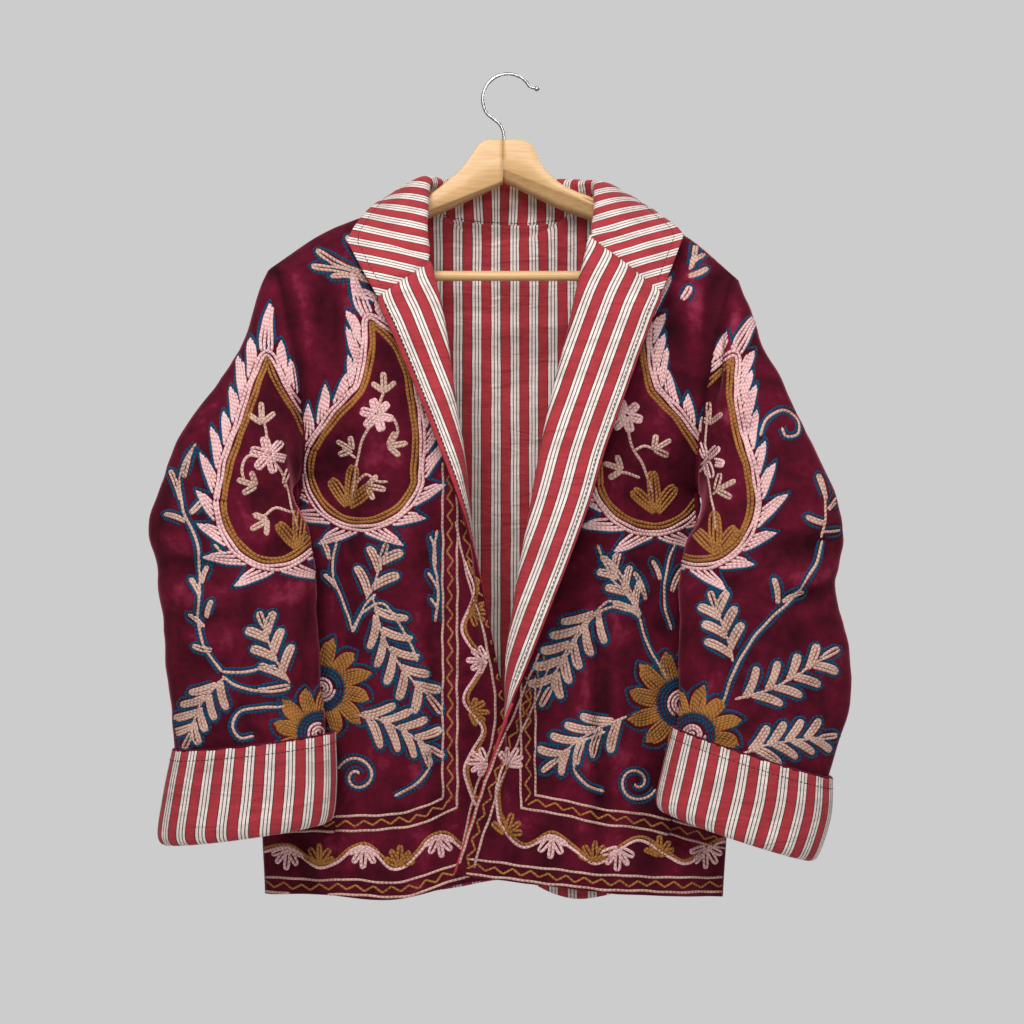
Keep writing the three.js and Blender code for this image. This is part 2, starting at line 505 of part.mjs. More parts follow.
const hanger = new THREE.Group();
jacket.add(hanger);
const barHole = solid(rod(BAR_R + HOLE_GAP, 2 * BAR_END, 16).rotateZ(Math.PI / 2).translate(0, BAR_Y, BAR_Z));
const wireHole = solid(rod(WIRE_R + HOLE_GAP, 30, 12).rotateX(Math.PI / 2).translate(-4.1, 0, -77));
const arm = (name, rows) => place(name, geometryOf(solid(armGeometry(rows)).subtract(barHole).subtract(wireHole)), finish(0xe1b982, 0.5), hanger);
arm("hanger_arm_right", ARM_RIGHT);
arm("hanger_arm_left", ARM_LEFT);
place("hanger_bar", rod(BAR_R, 2 * (BAR_END - HOLE_GAP), 16).rotateZ(Math.PI / 2).translate(0, BAR_Y, BAR_Z), finish(0xe1b982, 0.5), hanger);
const wire = new THREE.ExtrudeGeometry(circle(WIRE_R), { steps: 28, curveSegments: 3, bevelEnabled: false, extrudePath: wirePath() });
const tip = new THREE.SphereGeometry(TIP_R, 8, 6).translate(HOOK_TIP[0], 0, HOOK_TIP[1]);
place("hanger_hook", geometryOf(solid(wire).add(solid(tip))), finish(0xc8c8cc, 0.2, 1), hanger);

export default jacket;
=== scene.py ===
# The looks of an embroidered velvet jacket with a striped lining, on a wooden hanger.
# Metres, +Z up, the frame of the CAD part. Lengths in the tables are millimetres in that
# frame, and px columns are places in the picture's 1024 x 1024 frame as the camera sees them.
import math

import bpy
import numpy as np
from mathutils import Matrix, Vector
from mathutils.bvhtree import BVHTree


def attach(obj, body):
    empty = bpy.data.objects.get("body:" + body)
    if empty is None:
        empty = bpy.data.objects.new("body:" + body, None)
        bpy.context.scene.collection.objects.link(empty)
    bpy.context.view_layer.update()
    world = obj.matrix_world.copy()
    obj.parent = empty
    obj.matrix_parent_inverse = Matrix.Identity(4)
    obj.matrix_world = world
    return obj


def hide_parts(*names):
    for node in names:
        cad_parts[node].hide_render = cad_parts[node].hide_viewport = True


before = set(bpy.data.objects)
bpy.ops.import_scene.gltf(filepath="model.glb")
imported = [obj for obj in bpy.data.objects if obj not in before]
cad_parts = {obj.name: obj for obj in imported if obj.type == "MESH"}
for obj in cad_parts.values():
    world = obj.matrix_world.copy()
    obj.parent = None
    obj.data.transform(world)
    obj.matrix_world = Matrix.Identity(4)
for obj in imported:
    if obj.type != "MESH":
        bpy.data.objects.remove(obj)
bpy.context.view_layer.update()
MM = 0.001

# ---- driving dimensions --------------------------------------------------------------
VELVET = 1.6            # velvet shell
LINING = 1.0            # cotton shell
BETWEEN = 0.3
SEAM = 0.22             # each piece stops this far short of a seam line
LAPEL_PUFF = 5
PITCH = 20.0            # one repeat of the lining's stripes
CAM_D, CAM_X, CAM_Z, PX = 2050.0, 4.1, -445.2, 1.02   # camera distance, centre, mm per px


def table(text):
    lines = [line.split() for line in text.strip().splitlines()]
    head, rows = lines[0], lines[1:]
    out = []
    for r in rows:
        row = {}
        for name, word in zip(head, r):
            try:
                row[name] = float(word)
            except ValueError:
                row[name] = float("nan") if word == "-" else word
        out.append(row)
    return out


FRONT_RIGHT = table("""
  row       fold_x fold_y fold_z  roll_x roll_y roll_z  edge_x edge_y edge_z  chest flank chest_up flank_up
  shoulder   -84.5   -5   -117.5     -     -      -        -     -      -     -14   -27     5    9
  neck1      -85.5  -28   -141.5     -     -      -        -     -      -     -38   -48     4    7
  neck2      -87.8  -42   -173.4     -     -      -        -     -      -     -49   -56     3    5
  gorge      -93.1  -56   -199.2   -76.8  -66  -198.4   -127.1  -82  -234.7   -59   -62     1    3
  bust1      -85.8  -64   -235.7   -68.5  -78  -237.2   -111.2  -86  -272.2   -66   -66     0    1
  bust2      -78.7  -68   -280.5   -60.5  -84  -281.8    -92.3  -92  -316.6   -71   -69     0    0
  bust3      -71.8  -70   -327.0   -54.4  -90  -328.2    -75.4 -101  -357.0   -73   -68     0    0
  bust4      -64.9  -70   -374.3   -46.6  -92  -375.1    -59.7 -107  -398.8   -74   -57     0    0
  underarm   -60.0  -69   -423.5   -40.9  -86  -423.7    -47.1 -108  -437.5   -73   -49     0    0
  waist1     -57.0  -68   -477.7   -37.1  -79  -477.6    -34.7 -100  -481.1   -71   -47     0    0
  waist2     -54.1  -66   -532.1   -33.3  -74  -531.7    -23.2  -88  -532.1   -69   -46     0    0
  hip1       -51.2  -64   -591.4   -29.4  -69  -591.1    -11.6  -76  -590.6   -67   -47     0    0
  hip2       -49.3  -61   -651.0   -23.6  -64  -650.7     -1.8  -67  -649.4   -65   -46     0    0
  hip3       -49.4  -59   -720.6   -24.6  -60  -720.5     -2.8  -61  -718.3   -63   -45    -2    0
  hem        -48.5  -57   -814.1   -25.6  -57  -810.1     -3.8  -57  -807.1   -61   -44    -8    0""")

FRONT_LEFT = table("""
  row       fold_x fold_y fold_z  roll_x roll_y roll_z  edge_x edge_y edge_z  chest flank chest_up flank_up
  shoulder    91.5   -5   -119.0     -     -      -        -     -      -     -14   -27     8   11
  neck1       92.5  -28   -142.5     -     -      -        -     -      -     -38   -48     6    8
  neck2       96.1  -40   -163.2     -     -      -        -     -      -     -49   -56     4    6
  gorge      102.4  -54   -179.0    81.3  -62  -172.2    149.9  -84  -230.0   -59   -62     2    4
  bust1       98.0  -64   -220.9    71.0  -74  -222.0    140.6  -90  -256.0   -68   -66     0    2
  bust2       86.9  -70   -270.8    59.9  -82  -271.9    124.6  -97  -299.4   -73   -69     0    0
  bust3       75.9  -73   -320.3    47.0  -90  -324.3    109.6 -105  -340.7   -76   -68     0    0
  bust4       64.0  -75   -374.4    35.2  -98  -378.2     92.8 -112  -387.3   -77   -57     0    0
  underarm    54.2  -76   -428.5    25.4 -104  -431.6     79.1 -117  -433.7   -77   -49     0    0
  waist1      43.4  -77   -487.4    15.7 -110  -487.7     59.7 -122  -487.4   -76   -47     0    0
  waist2      36.5  -78   -541.4     7.0 -112  -540.7     39.5 -125  -539.1   -75   -46     0    0
  hip1        31.6  -78   -595.3     0.2 -108  -594.0     19.4 -127  -592.5   -73   -47     0    0
  hip2        29.6  -78   -649.3     0.2  -98  -648.2     -0.7 -122  -644.7   -71   -46     0    0
  hip3        28.7  -76   -718.2     0.2  -87  -716.7    -24.0 -100  -714.0   -68   -45     0    0
  hem         28.7  -72   -811.3    -7.7  -77  -806.5    -51.7  -82  -798.7   -65   -44    -1    0""")

SIDE = table("""
  row      right_x right_y right_z  left_x left_y left_z
  waist1   -219.4    -8   -478.7    201.2    -8   -478.7
  waist2   -227.7    -7   -534.7    208.4    -7   -534.7
  hip1     -234.9    -6   -595.7    214.6    -6   -600.8
  hip2     -242.1    -5   -656.8    219.8    -5   -656.8
  hip3     -252.4    -4   -728.2    226.0    -4   -728.2
  hem      -249.4    -4   -833.1    220.9    -4   -836.1""")

BACK = table("""
  row       mid_x mid_y mid_z  blade flank blade_up flank_up
  neck        -5   45   -146      -5   -20     0     0
  yoke1       -5   50   -172      28    11    40    18
  yoke2       -5   53   -202      41    25    36    15
  yoke3       -5   55   -233      48    33    30    11
  blade1      -5   56   -266      51    37    24     8
  blade2      -5   56   -303      53    40    18     6
  blade3      -5   55   -342      54    40    12     4
  blade4      -5   54   -383      53    38     6     2
  underarm    -5   53   -426      52    36     0     0
  waist1      -5   52   -480      50    34     0     0
  waist2      -5   50   -536      48    32     0     0
  hip1        -5   47   -597      46    31     0     0
  hip2        -5   44   -657      43    29     0     0
  hip3        -5   41   -730      40    28     0     0
  hem         -5   36   -826      36    26   -16     0""")

NECK = table("""
  point   x      y    z
  right3 -84.5   8  -120.5
  right2 -76.0  28  -137.5
  right1 -41.0  41  -144.0
  centre  -5.0  45  -146.0
  left1   33.3  43  -146.2
  left2   77.0  30  -139.5
  left3   91.5   8  -122.0""")

SLEEVE_RIGHT = table("""
  ring       top_x  top_y  top_z   low_x  low_y  low_z  fore_x fore_y  aft_x aft_y
  armhole   -238.2  -38  -198.9   -212.0  -12  -412.8   17.5  -37    3.5  55
  cap1      -250.0  -47  -228.9   -216.0  -28  -424.5   10.0  -41   -4.0  51
  cap2      -258.8  -56  -266.6   -212.0  -40  -436.5    6.0  -44   -3.0  45
  arm1      -282.6  -64  -312.7   -205.5  -49  -447.5    3.0  -46   -2.0  40
  arm2      -315.3  -70  -358.5   -198.5  -54  -459.1    0.0  -46    0.0  37
  arm3      -339.2  -74  -411.8   -194.3  -59  -473.0    0.0  -45    0.0  35
  elbow     -352.6  -76  -458.0   -191.9  -63  -490.7    0.0  -44    0.0  34
  fore1     -344.4  -77  -504.1   -189.5  -65  -516.3    0.0  -44    0.0  34
  fore2     -333.5  -80  -603.0   -184.0  -71  -603.0    0.0  -41    0.0  33
  wrist     -324.9  -82  -697.8   -177.8  -74  -689.0    0.0  -39    0.0  33
  cuff_in   -332.4  -84  -762.1   -179.6  -76  -741.8    0.0  -38    0.0  32
  cuff_fold -335.8  -84  -767.0   -176.6  -76  -746.7    0.0  -42    0.0  36
  cuff_out  -339.2  -84  -762.1   -173.7  -76  -741.8    0.0  -46    0.0  40
  cuff_mid  -334.7  -82  -722.3   -170.8  -75  -710.5    0.0  -46    0.0  40
  cuff_top  -325.9  -81  -678.4   -172.0  -74  -661.5    0.0  -46    0.0  40""")

SLEEVE_LEFT = table("""
  ring       top_x  top_y  top_z   low_x  low_y  low_z  fore_x fore_y  aft_x aft_y
  armhole    229.3  -38  -208.9    194.0  -12  -424.9  -14.0  -37   -3.5  55
  cap1       239.3  -47  -237.9    195.0  -27  -436.5   -8.0  -41    4.0  51
  cap2       251.1  -56  -276.5    191.5  -39  -449.5   -5.0  -44    3.0  45
  arm1       269.1  -64  -314.7    185.8  -48  -460.6   -3.0  -46    2.0  40
  arm2       291.9  -70  -364.4    179.5  -54  -467.5    0.0  -46    0.0  37
  arm3       315.9  -74  -411.8    174.7  -59  -478.9    0.0  -45    0.0  35
  elbow      330.4  -76  -468.8    172.3  -63  -496.7    0.0  -44    0.0  34
  fore1      321.2  -77  -512.0    170.0  -65  -520.3    0.0  -44    0.0  34
  fore2      337.0  -80  -608.0    168.5  -71  -596.0    0.0  -41    0.0  33
  wrist      311.6  -82  -713.5    165.3  -74  -673.3    0.0  -39    0.0  33
  cuff_in    294.6  -84  -776.8    155.4  -76  -731.0    0.0  -38    0.0  32
  cuff_fold  297.6  -84  -782.7    151.9  -76  -735.9    0.0  -42    0.0  36
  cuff_out   301.5  -84  -777.8    148.5  -76  -731.0    0.0  -46    0.0  40
  cuff_mid   313.5  -82  -741.9    154.5  -75  -696.8    0.0  -46    0.0  40
  cuff_top   315.5  -81  -705.8    164.5  -74  -657.6    0.0  -46    0.0  40""")

COLLAR = table("""
  station   top_x  top_y  top_z   fall_x fall_y fall_z   free_x free_y free_z
  edge_r      -      -      -       -      -      -      -159.1  -56  -176.5
  roll_r      -      -      -       -      -      -      -153.7  -51  -165.6
  fold_r    -82.8  -67  -188.5    -98.3  -74  -187.3     -150.3  -46  -158.5
  neck2_r   -84.3  -55  -161.2    -98.8  -64  -163.3     -146.0  -36  -150.0
  neck1_r   -82.8  -36  -132.9    -99.9  -44  -137.2     -138.9  -15  -138.0
  point_r   -82.0   -7  -109.4    -97.0   -8  -112.0     -128.0    8  -127.8
  back_r    -61.8   22  -106.3    -72.7   38  -105.8      -98.1   53  -146.7
  centre     -3.2   36  -101.7     -3.2   52  -105.6       -3.3   65  -164.3
  back_l     63.8   22  -107.4     74.7   38  -106.8      103.2   53  -148.8
  point_l    89.3   -7  -110.8    102.0   -8  -113.3     133.1    8  -130.9
  neck1_l    89.2  -36  -133.9    104.1  -44  -136.2     146.1  -15  -140.0
  neck2_l    88.6  -53  -157.9    102.1  -62  -157.1     154.2  -29  -149.0
  fold_l     84.4 -63.5 -170.0    101.4  -74  -169.4      159.5  -40  -154.5
  roll_l      -      -      -       -      -      -       166.9  -46  -160.6
  edge_l      -      -      -       -      -      -       174.3  -52  -170.5""")

ARM_RIGHT = table("""
  cut      x      top    front_low back_low  y    round
  mitre   -5.25  -65.8   -108.7   -110.0    0      2
  head   -20.5   -66.0   -114.9   -118.0    0      2
  neck1  -28.5   -69.5   -118.2   -121.8    0      2
  neck2  -37.7   -82.0   -121.8   -126.0    0      2
  neck3  -47.0   -94.8   -125.6   -130.5   -0.6    2
  neck4  -61.0  -107.5   -131.2   -137.0   -1.8    3
  show   -86.0  -126.0   -141.3   -148.3   -4.5    5
  arm1  -134.0  -147.5   -163.0   -170.0  -14      5
  arm2  -186.0  -171.5   -188.0   -194.0  -25      5
  arm3  -212.0  -188.0   -213.5   -218.0  -31      5
  tip   -225.0  -198.5   -215.0   -217.0  -34      5""")

ARM_LEFT = table("""
  cut      x      top    front_low back_low  y    round
  mitre   -4.95  -65.8    -96.8   -108.5    0      2
  head    12.0   -66.0   -103.5   -116.5    0      2
  neck1   23.5   -70.5   -108.2   -122.0    0      2
  neck2   30.6   -84.0   -111.2   -125.5    0      2
  neck3   38.5   -97.0   -114.5   -129.3   -0.6    2
  neck4   56.0  -112.5   -121.8   -137.8   -1.8    3
  show    90.0  -127.0   -136.0   -150.5   -4.5    5
  arm1   135.6  -150.0   -162.0   -171.5  -14      5
  arm2   182.0  -179.0   -192.0   -199.0  -25      5
  arm3   204.0  -194.5   -214.0   -219.0  -31      5
  tip    214.0  -203.5   -216.0   -218.0  -33      5""")

HOOK_STEM = table("""
  point   x      z
  foot   -4.2  -86.0
  wood   -4.0  -66.0
  rise1  -4.9  -57.0
  rise2  -8.6  -49.5
  rise3 -15.2  -44.0""")

# The garment's creases. px0..py2 are three points of a curved line in the picture's
# frame, on a hidden side as if seen through the front. depth is millimetres along the cloth's
# outward normal (below 0 a trough, above 0 a ridge) and width is half the fold's width.
CREASES = table("""
  piece        side   px0  py0  px1  py1  px2  py2  depth width
  sleeve_right front  290  285  301  335  299  400   5.0   9
  sleeve_right front  300  300  311  350  309  440  -5.5   8
  sleeve_right front  277  300  268  345  272  420  -2.6   9
  sleeve_right front  262  300  240  360  214  400  -2.4  12
  sleeve_right front  252  330  228  378  200  415   2.0  12
  sleeve_right front  160  560  190  575  232  560  -3.6   9
  sleeve_right front  163  590  196  604  240  596   2.8   9
  sleeve_right front  162  612  185  626  214  622  -2.8   8
  sleeve_right front  158  535  178  548  204  545   2.2   8
  sleeve_right front  318  520  296  548  262  556  -2.4  10
  sleeve_right front  316  585  290  602  266  598   2.0   9
  sleeve_right front  170  655  200  668  238  660  -2.2  10
  sleeve_right front  176  690  205  700  240  696   1.8   9
  sleeve_right front  190  470  182  520  176  560   2.4  11
  sleeve_right front  313  600  309  650  311  720  -2.6  10
  sleeve_right front  215  430  201  500  204  560  -1.6  13
  sleeve_right back   290  285  301  335  299  400   4.2   9
  sleeve_right back   305  300  313  350  311  440  -4.8   8
  sleeve_right back   262  310  240  370  210  412  -2.8  12
  sleeve_right back   166  560  206  580  262  566  -3.4  10
  sleeve_right back   166  590  214  606  270  600   2.8  10
  sleeve_right back   168  622  202  636  242  630  -2.4   9
  sleeve_right back   316  540  286  556  250  548  -2.2  10
  sleeve_right back   176  690  212  702  262  700  -1.8  10
  sleeve_left  front  706  290  700  330  702  400   3.4   9
  sleeve_left  front  722  285  714  330  712  400  -5.6   8
  sleeve_left  front  733  300  733  350  728  420   4.0   9
  sleeve_left  front  742  310  760  350  781  396  -2.2  12
  sleeve_left  front  756  330  780  378  800  424   2.0  12
  sleeve_left  front  842  540  806  556  770  548  -3.6  10
  sleeve_left  front  838  566  806  584  764  580   3.0   9
  sleeve_left  front  836  585  812  600  782  600  -3.0   8
  sleeve_left  front  842  515  816  524  788  520   2.0   9
  sleeve_left  front  846  625  812  640  772  634  -2.0  10
  sleeve_left  front  849  660  820  676  786  676   1.8  10
  sleeve_left  front  684  560  706  584  742  590  -2.6  10
  sleeve_left  front  680  610  702  630  738  634   1.8   9
  sleeve_left  front  683  640  688  684  686  724  -2.4  10
  sleeve_left  front  812  450  824  500  826  540   2.2  11
  sleeve_left  back   722  285  714  330  712  400  -5.0   8
  sleeve_left  back   740  300  758  350  780  400  -2.6  12
  sleeve_left  back   840  545  800  564  742  556  -3.4  10
  sleeve_left  back   838  575  798  594  740  588   2.8  10
  sleeve_left  back   838  606  806  620  764  616  -2.4   9
  sleeve_left  back   684  540  712  560  752  560  -2.0  10
  sleeve_left  back   846  680  810  694  760  690  -1.8  10
  front_right  all    290  270  305  300  312  370   3.2  12
  front_right  all    330  240  326  290  330  350  -2.6  13
  front_right  all    365  258  350  300  345  360   2.2  12
  front_right  all    430  560  438  680  438  880  -3.2   9
  front_right  all    420  600  422  700  424  860   2.0  10
  front_right  all    330  430  352  560  350  700  -1.6  16
  front_right  all    352  720  356  800  350  893   2.4  13
  front_right  all    395  700  392  800  398  902  -2.0  12
  front_right  all    300  760  304  830  300  893  -2.2  13
  front_right  all    276  780  280  840  276  893   2.0  11
  front_right  all    468  560  472  660  470  790  -1.8   9
  front_left   all    728  262  716  300  712  360  -3.8  10
  front_left   all    700  262  694  310  692  370   3.0  11
  front_left   all    668  300  680  340  684  400  -2.2  12
  front_left   all    600  560  602  700  600  890  -4.6   7
  front_left   all    585  600  584  740  580  888   2.6  10
  front_left   all    620  640  622  760  620  892   2.0  11
  front_left   all    545  700  542  800  548  884  -2.2  11
  front_left   all    650  740  654  820  650  892  -2.2  13
  front_left   all    690  760  694  830  690  893   2.2  12
  front_left   all    512  740  508  800  500  870   1.8   9
  front_left   all    640  430  650  540  664  640  -1.6  15
  back         all    440  300  436  420  446  560  -1.8  12
  back         all    520  300  522  440  516  600   1.6  14
  back         all    560  300  556  400  552  520  -1.6  12
  back         all    437  284  505  287  585  283  -1.2   5
  back         all    350  330  356  480  350  620   2.4  18
  back         all    650  330  644  480  650  620  -2.4  18
  back         all    310  620  316  740  308  890  -3.4  14
  back         all    380  600  376  740  384  895   3.0  15
  back         all    450  640  456  760  448  898  -2.8  13
  back         all    516  620  512  760  518  900   2.8  15
  back         all    584  640  590  770  582  898  -3.0  13
  back         all    650  620  646  750  654  895   3.0  15
  back         all    700  660  704  780  698  890  -2.6  13
  back         all    282  300  300  340  306  420  -3.0  12
  back         all    722  300  706  340  702  420  -3.0  12
  back         all    400  232  500  243  600  232   1.4  10
""")

# ---- curves --------------------------------------------------------------------------
def spline(knots, stations):
    """The same centripetal curve as the part's: station 2.5 is half way from knot 2 to 3."""
    k = np.asarray(knots, float)
    s = np.clip(np.asarray(stations, float), 0, len(k) - 1)
    i = np.minimum(s.astype(int), len(k) - 2)
    f = (s - i)[:, None]
    e = np.vstack([2 * k[0] - k[1], k, 2 * k[-1] - k[-2]])
    p0, p1, p2, p3 = e[i], e[i + 1], e[i + 2], e[i + 3]

    def gap(a, b):
        return np.sqrt(np.maximum(np.linalg.norm(b - a, axis=1), 1e-9))[:, None]

    t1 = gap(p0, p1)
    t2 = t1 + gap(p1, p2)
    t3 = t2 + gap(p2, p3)
    t = t1 + (t2 - t1) * f
    a1 = p0 * (t1 - t) / t1 + p1 * t / t1
    a2 = p1 * (t2 - t) / (t2 - t1) + p2 * (t - t1) / (t2 - t1)
    a3 = p2 * (t3 - t) / (t3 - t2) + p3 * (t - t2) / (t3 - t2)
    b1 = a1 * (t2 - t) / t2 + a2 * t / t2
    b2 = a2 * (t3 - t) / (t3 - t1) + a3 * (t - t1) / (t3 - t1)
    return b1 * (t2 - t) / (t2 - t1) + b2 * (t - t1) / (t2 - t1)


def at(row, name):
    return np.array([row[name + "_x"], row[name + "_y"], row[name + "_z"]])


def mix(a, b, t):
    return a * (1 - t) + b * t


def split(knots, parts):
    """Stations between whole numbers, parts[i] of them in each step."""
    out = []
    for i, n in enumerate(parts):
        out += [knots[i] + (knots[i + 1] - knots[i]) * k / n for k in range(n)]
    return np.array(out + [knots[-1]], float)


# ---- the cloth surface, as in the part but finely divided ------------------------------
ARMHOLE_ROWS, AROUND, GORGE = 8, 16, 3
ROWS = split(list(range(15)), [6, 5, 5, 7, 8, 9, 9, 8, 9, 9, 10, 10, 12, 15])
PANEL = split([0, 1, 2, 3], [13, 13, 13])
FLAP = split([3, 4, 5, 6], [6, 7, 7])


def ring_point(row, k):
    k = np.atleast_1d(k)[:, None]
    angle = 2 * math.pi * k / AROUND
    c, s = np.cos(angle), np.sin(angle)
    top, low = at(row, "top"), at(row, "low")
    fore = np.array([row["fore_x"], row["fore_y"], 0])
    aft = np.array([row["aft_x"], row["aft_y"], 0])
    return low * (1 - c) / 2 + top * (1 + c) / 2 + np.where(s >= 0, fore, aft) * np.abs(s)


def side_edge(sleeve, which, half, stations):
    """The armhole, then the side seam."""
    out = np.zeros((len(stations), 3))
    arm = stations <= ARMHOLE_ROWS
    k = stations[arm] if half > 0 else (AROUND - stations[arm]) % AROUND
    out[arm] = ring_point(sleeve[0], k)
    foot = ring_point(sleeve[0], 8)[0]
    seam = [foot] + [at(r, which) for r in SIDE]
    out[~arm] = spline(seam, stations[~arm] - ARMHOLE_ROWS)
    return out


def down(columns, stations=ROWS, first=None):
    """Curves down the columns of a coarse grid (rows x columns x 3)."""
    g = np.asarray(columns, float)
    n0 = 0 if first is None else first
    out = np.full((len(stations), g.shape[1], 3), np.nan)
    live = stations >= n0
    for j in range(g.shape[1]):
        out[live, j] = spline(g[:, j], stations[live] - (0 if first is None else first - 1))
    return out


def front_grid(rows, sleeve, which):
    coarse_edge = side_edge(sleeve, which, 1, np.arange(15.0))
    body, flap = [], []
    for i, row in enumerate(rows):
        a, f = coarse_edge[i], at(row, "fold")
        chest, flank = mix(a, f, 2 / 3), mix(a, f, 1 / 3)
        chest[1], flank[1] = row["chest"], row["flank"]
        chest[2] += row["chest_up"]
        flank[2] += row["flank_up"]
        knots = [a, flank, chest, f]
        if i >= GORGE:
            roll, edge = at(row, "roll"), at(row, "edge")
            knots += [roll, mix(roll, edge, 0.5) + np.array([0, -LAPEL_PUFF, 0]), edge]
            flap.append(spline(knots, FLAP[1:]))
        body.append(spline(knots, PANEL))
    body = np.array(body)
    fine = down(body)
    fine[:, 0] = side_edge(sleeve, which, 1, ROWS)
    # the flap's columns carry on upwards as the fold line does, so both meet smoothly there
    flap = np.array(flap)
    above = body[GORGE - 1, -1] + flap[0] - body[GORGE, -1]
    fine_flap = down(np.concatenate([above[None], flap]), ROWS, GORGE)
    return np.concatenate([fine, fine_flap], axis=1)


NECK_FAN = [0, 0.16, 0.1, 0.05]
TURN = [0, 0, 0, 0, 0.1, 0.4, 1, 1.1, 0.7, 0.3, 0]
BACK_C = np.concatenate([2 * PANEL, split([6, 7, 8, 9, 10, 11, 12, 13, 14], [4, 7, 8, 8, 8, 8, 7, 4])[1:-1], 20 - 2 * PANEL[::-1]])


def back_grid(front_r, front_l):
    neck = [front_r[0, len(PANEL) - 1]] + [np.array([p["x"], p["y"], p["z"]]) for p in NECK] + [front_l[0, len(PANEL) - 1]]
    # the part's neck row has the two shoulder points and seven between: stations 6 to 14
    a_edge = side_edge(SLEEVE_RIGHT, "right", -1, np.arange(15.0))
    b_edge = side_edge(SLEEVE_LEFT, "left", -1, np.arange(15.0))
    coarse = []
    for i, row in enumerate(BACK):
        if i == 0:
            middle = spline(neck, BACK_C[len(PANEL):-len(PANEL)] - 6)
            coarse.append(np.concatenate([front_r[0, :len(PANEL)], middle, front_l[0, :len(PANEL)][::-1]]))
            continue
        a, b, mid = a_edge[i], b_edge[i], at(row, "mid")

        def part(p, share, y, up):
            q = mix(p, mid, share)
            q[1] = y
            q[2] += up
            return q

        knots = [a, part(a, 0.33, row["flank"], row["flank_up"]), part(a, 0.67, row["blade"], row["blade_up"]), mid,
                 part(b, 0.67, row["blade"], row["blade_up"]), part(b, 0.33, row["flank"], row["flank_up"]), b]
        fan = NECK_FAN[i] if i < len(NECK_FAN) else 0
        half = [(k / 3 if k < 6 else 2 + (k - 6) / 4) - fan * w for k, w in enumerate(TURN)]
        whole = half + [6 - s for s in half[:10][::-1]]
        coarse.append(spline(knots, np.interp(BACK_C, np.arange(21), whole)))
    fine = down(np.array(coarse))
    fine[:, 0] = side_edge(SLEEVE_RIGHT, "right", -1, ROWS)
    fine[:, -1] = side_edge(SLEEVE_LEFT, "left", -1, ROWS)
    return fine


RINGS = split(list(range(15)), [6, 7, 8, 9, 10, 9, 9, 15, 13, 11, 3, 3, 8, 8])
AROUND_K = np.concatenate([ROWS[ROWS <= 8], (16 - ROWS[ROWS < 8])[::-1][:-1]])


def sleeve_grid(rows):
    return down(np.array([ring_point(r, AROUND_K) for r in rows]), RINGS)


COLLAR_V = split([0, 1, 2, 3], [7, 6, 12])
COLLAR_T = []


def collar_grid(front_r, front_l, back):
    """Sections on the neck seam, from the right lapel's edge round the neck to the left's."""
    gorge = int(np.argmin(abs(ROWS - GORGE)))
    cols = np.concatenate([PANEL, FLAP[1:]])
    fold = len(PANEL) - 1
    spots = []
    for side, front in ((0, front_r), (1, front_l)):
        line = []
        for j in range(len(cols) - 1, fold - 1, -1):
            s = cols[j]
            line.append((front[gorge, j], np.interp(s, [3, 4, 4.5, 5, 6], [2, 1, 2 / 3, 1 / 3, 0])))
        for i in range(gorge - 1, -1, -1):
            line.append((front[i, fold], 5 - ROWS[i]))
        if side:
            line = [(p, 14 - t) for p, t in reversed(line)]
            c = BACK_C[len(PANEL):-len(PANEL)]
            spots += [(back[0, len(PANEL) + n], 5 + (v - 6) / 2) for n, v in enumerate(c)]
        spots += line
    free_knots = [at(r, "free") for r in COLLAR]
    folded = [not math.isnan(r["top_x"]) for r in COLLAR]
    first = folded.index(True)
    named = {}
    for name in ("top", "fall"):
        named[name] = [at(r, name) for r, ok in zip(COLLAR, folded) if ok]
    seam_at = {round(t, 6): p for p, t in spots}

    def flat(k, p):
        free = at(COLLAR[k], "free")
        near, half = (0.06, 0.3) if COLLAR[k]["station"].startswith("roll") else (0.3, 0.6)
        return {"top": mix(p, free, near) + np.array([0, -2, 0]), "fall": mix(p, free, half) + np.array([0, -4, 0])}

    def spot(name, t, p):
        i = min(int(t), len(COLLAR) - 2)
        f = t - i

        def known(k, q):
            if folded[k]:
                return at(COLLAR[k], name)
            foot = seam_at[round(float(k), 6)] if folded[i] or folded[i + 1] else q
            return flat(k, foot)[name]

        if f < 1e-6:
            return known(i, p)
        if folded[i] and folded[i + 1]:
            return spline(named[name], [t - first])[0]
        return mix(known(i, p), known(i + 1, p), f)

    COLLAR_T[:] = [t for _, t in spots]
    out = []
    for p, t in spots:
        knots = [p, spot("top", t, p), spot("fall", t, p), spline(free_knots, [t])[0]]
        out.append(spline(knots, COLLAR_V))
    out = np.array(out)
    t = np.minimum(np.array(COLLAR_T), 14 - np.array(COLLAR_T))
    soft = (smooth(t, 1.0, 1.8) * (1 - smooth(t, 3.8, 5.0)))[1:-1, None, None] * smooth(np.arange(len(COLLAR_V)), 0, 6)[None, :, None] * 0.9
    for _ in range(90):
        out[1:-1] += soft * ((out[:-2] + out[2:]) / 2 - out[1:-1])
    return out


# ---- from points to cloth ---------------------------------------------------------------
def to_px(p):
    k = PX * (CAM_D + p[..., 1]) / CAM_D
    return np.stack([512 + (p[..., 0] - CAM_X) / k, 512 - (p[..., 2] - CAM_Z) / k], axis=-1)


def unit(v):
    return v / np.maximum(np.linalg.norm(v, axis=-1, keepdims=True), 1e-12)


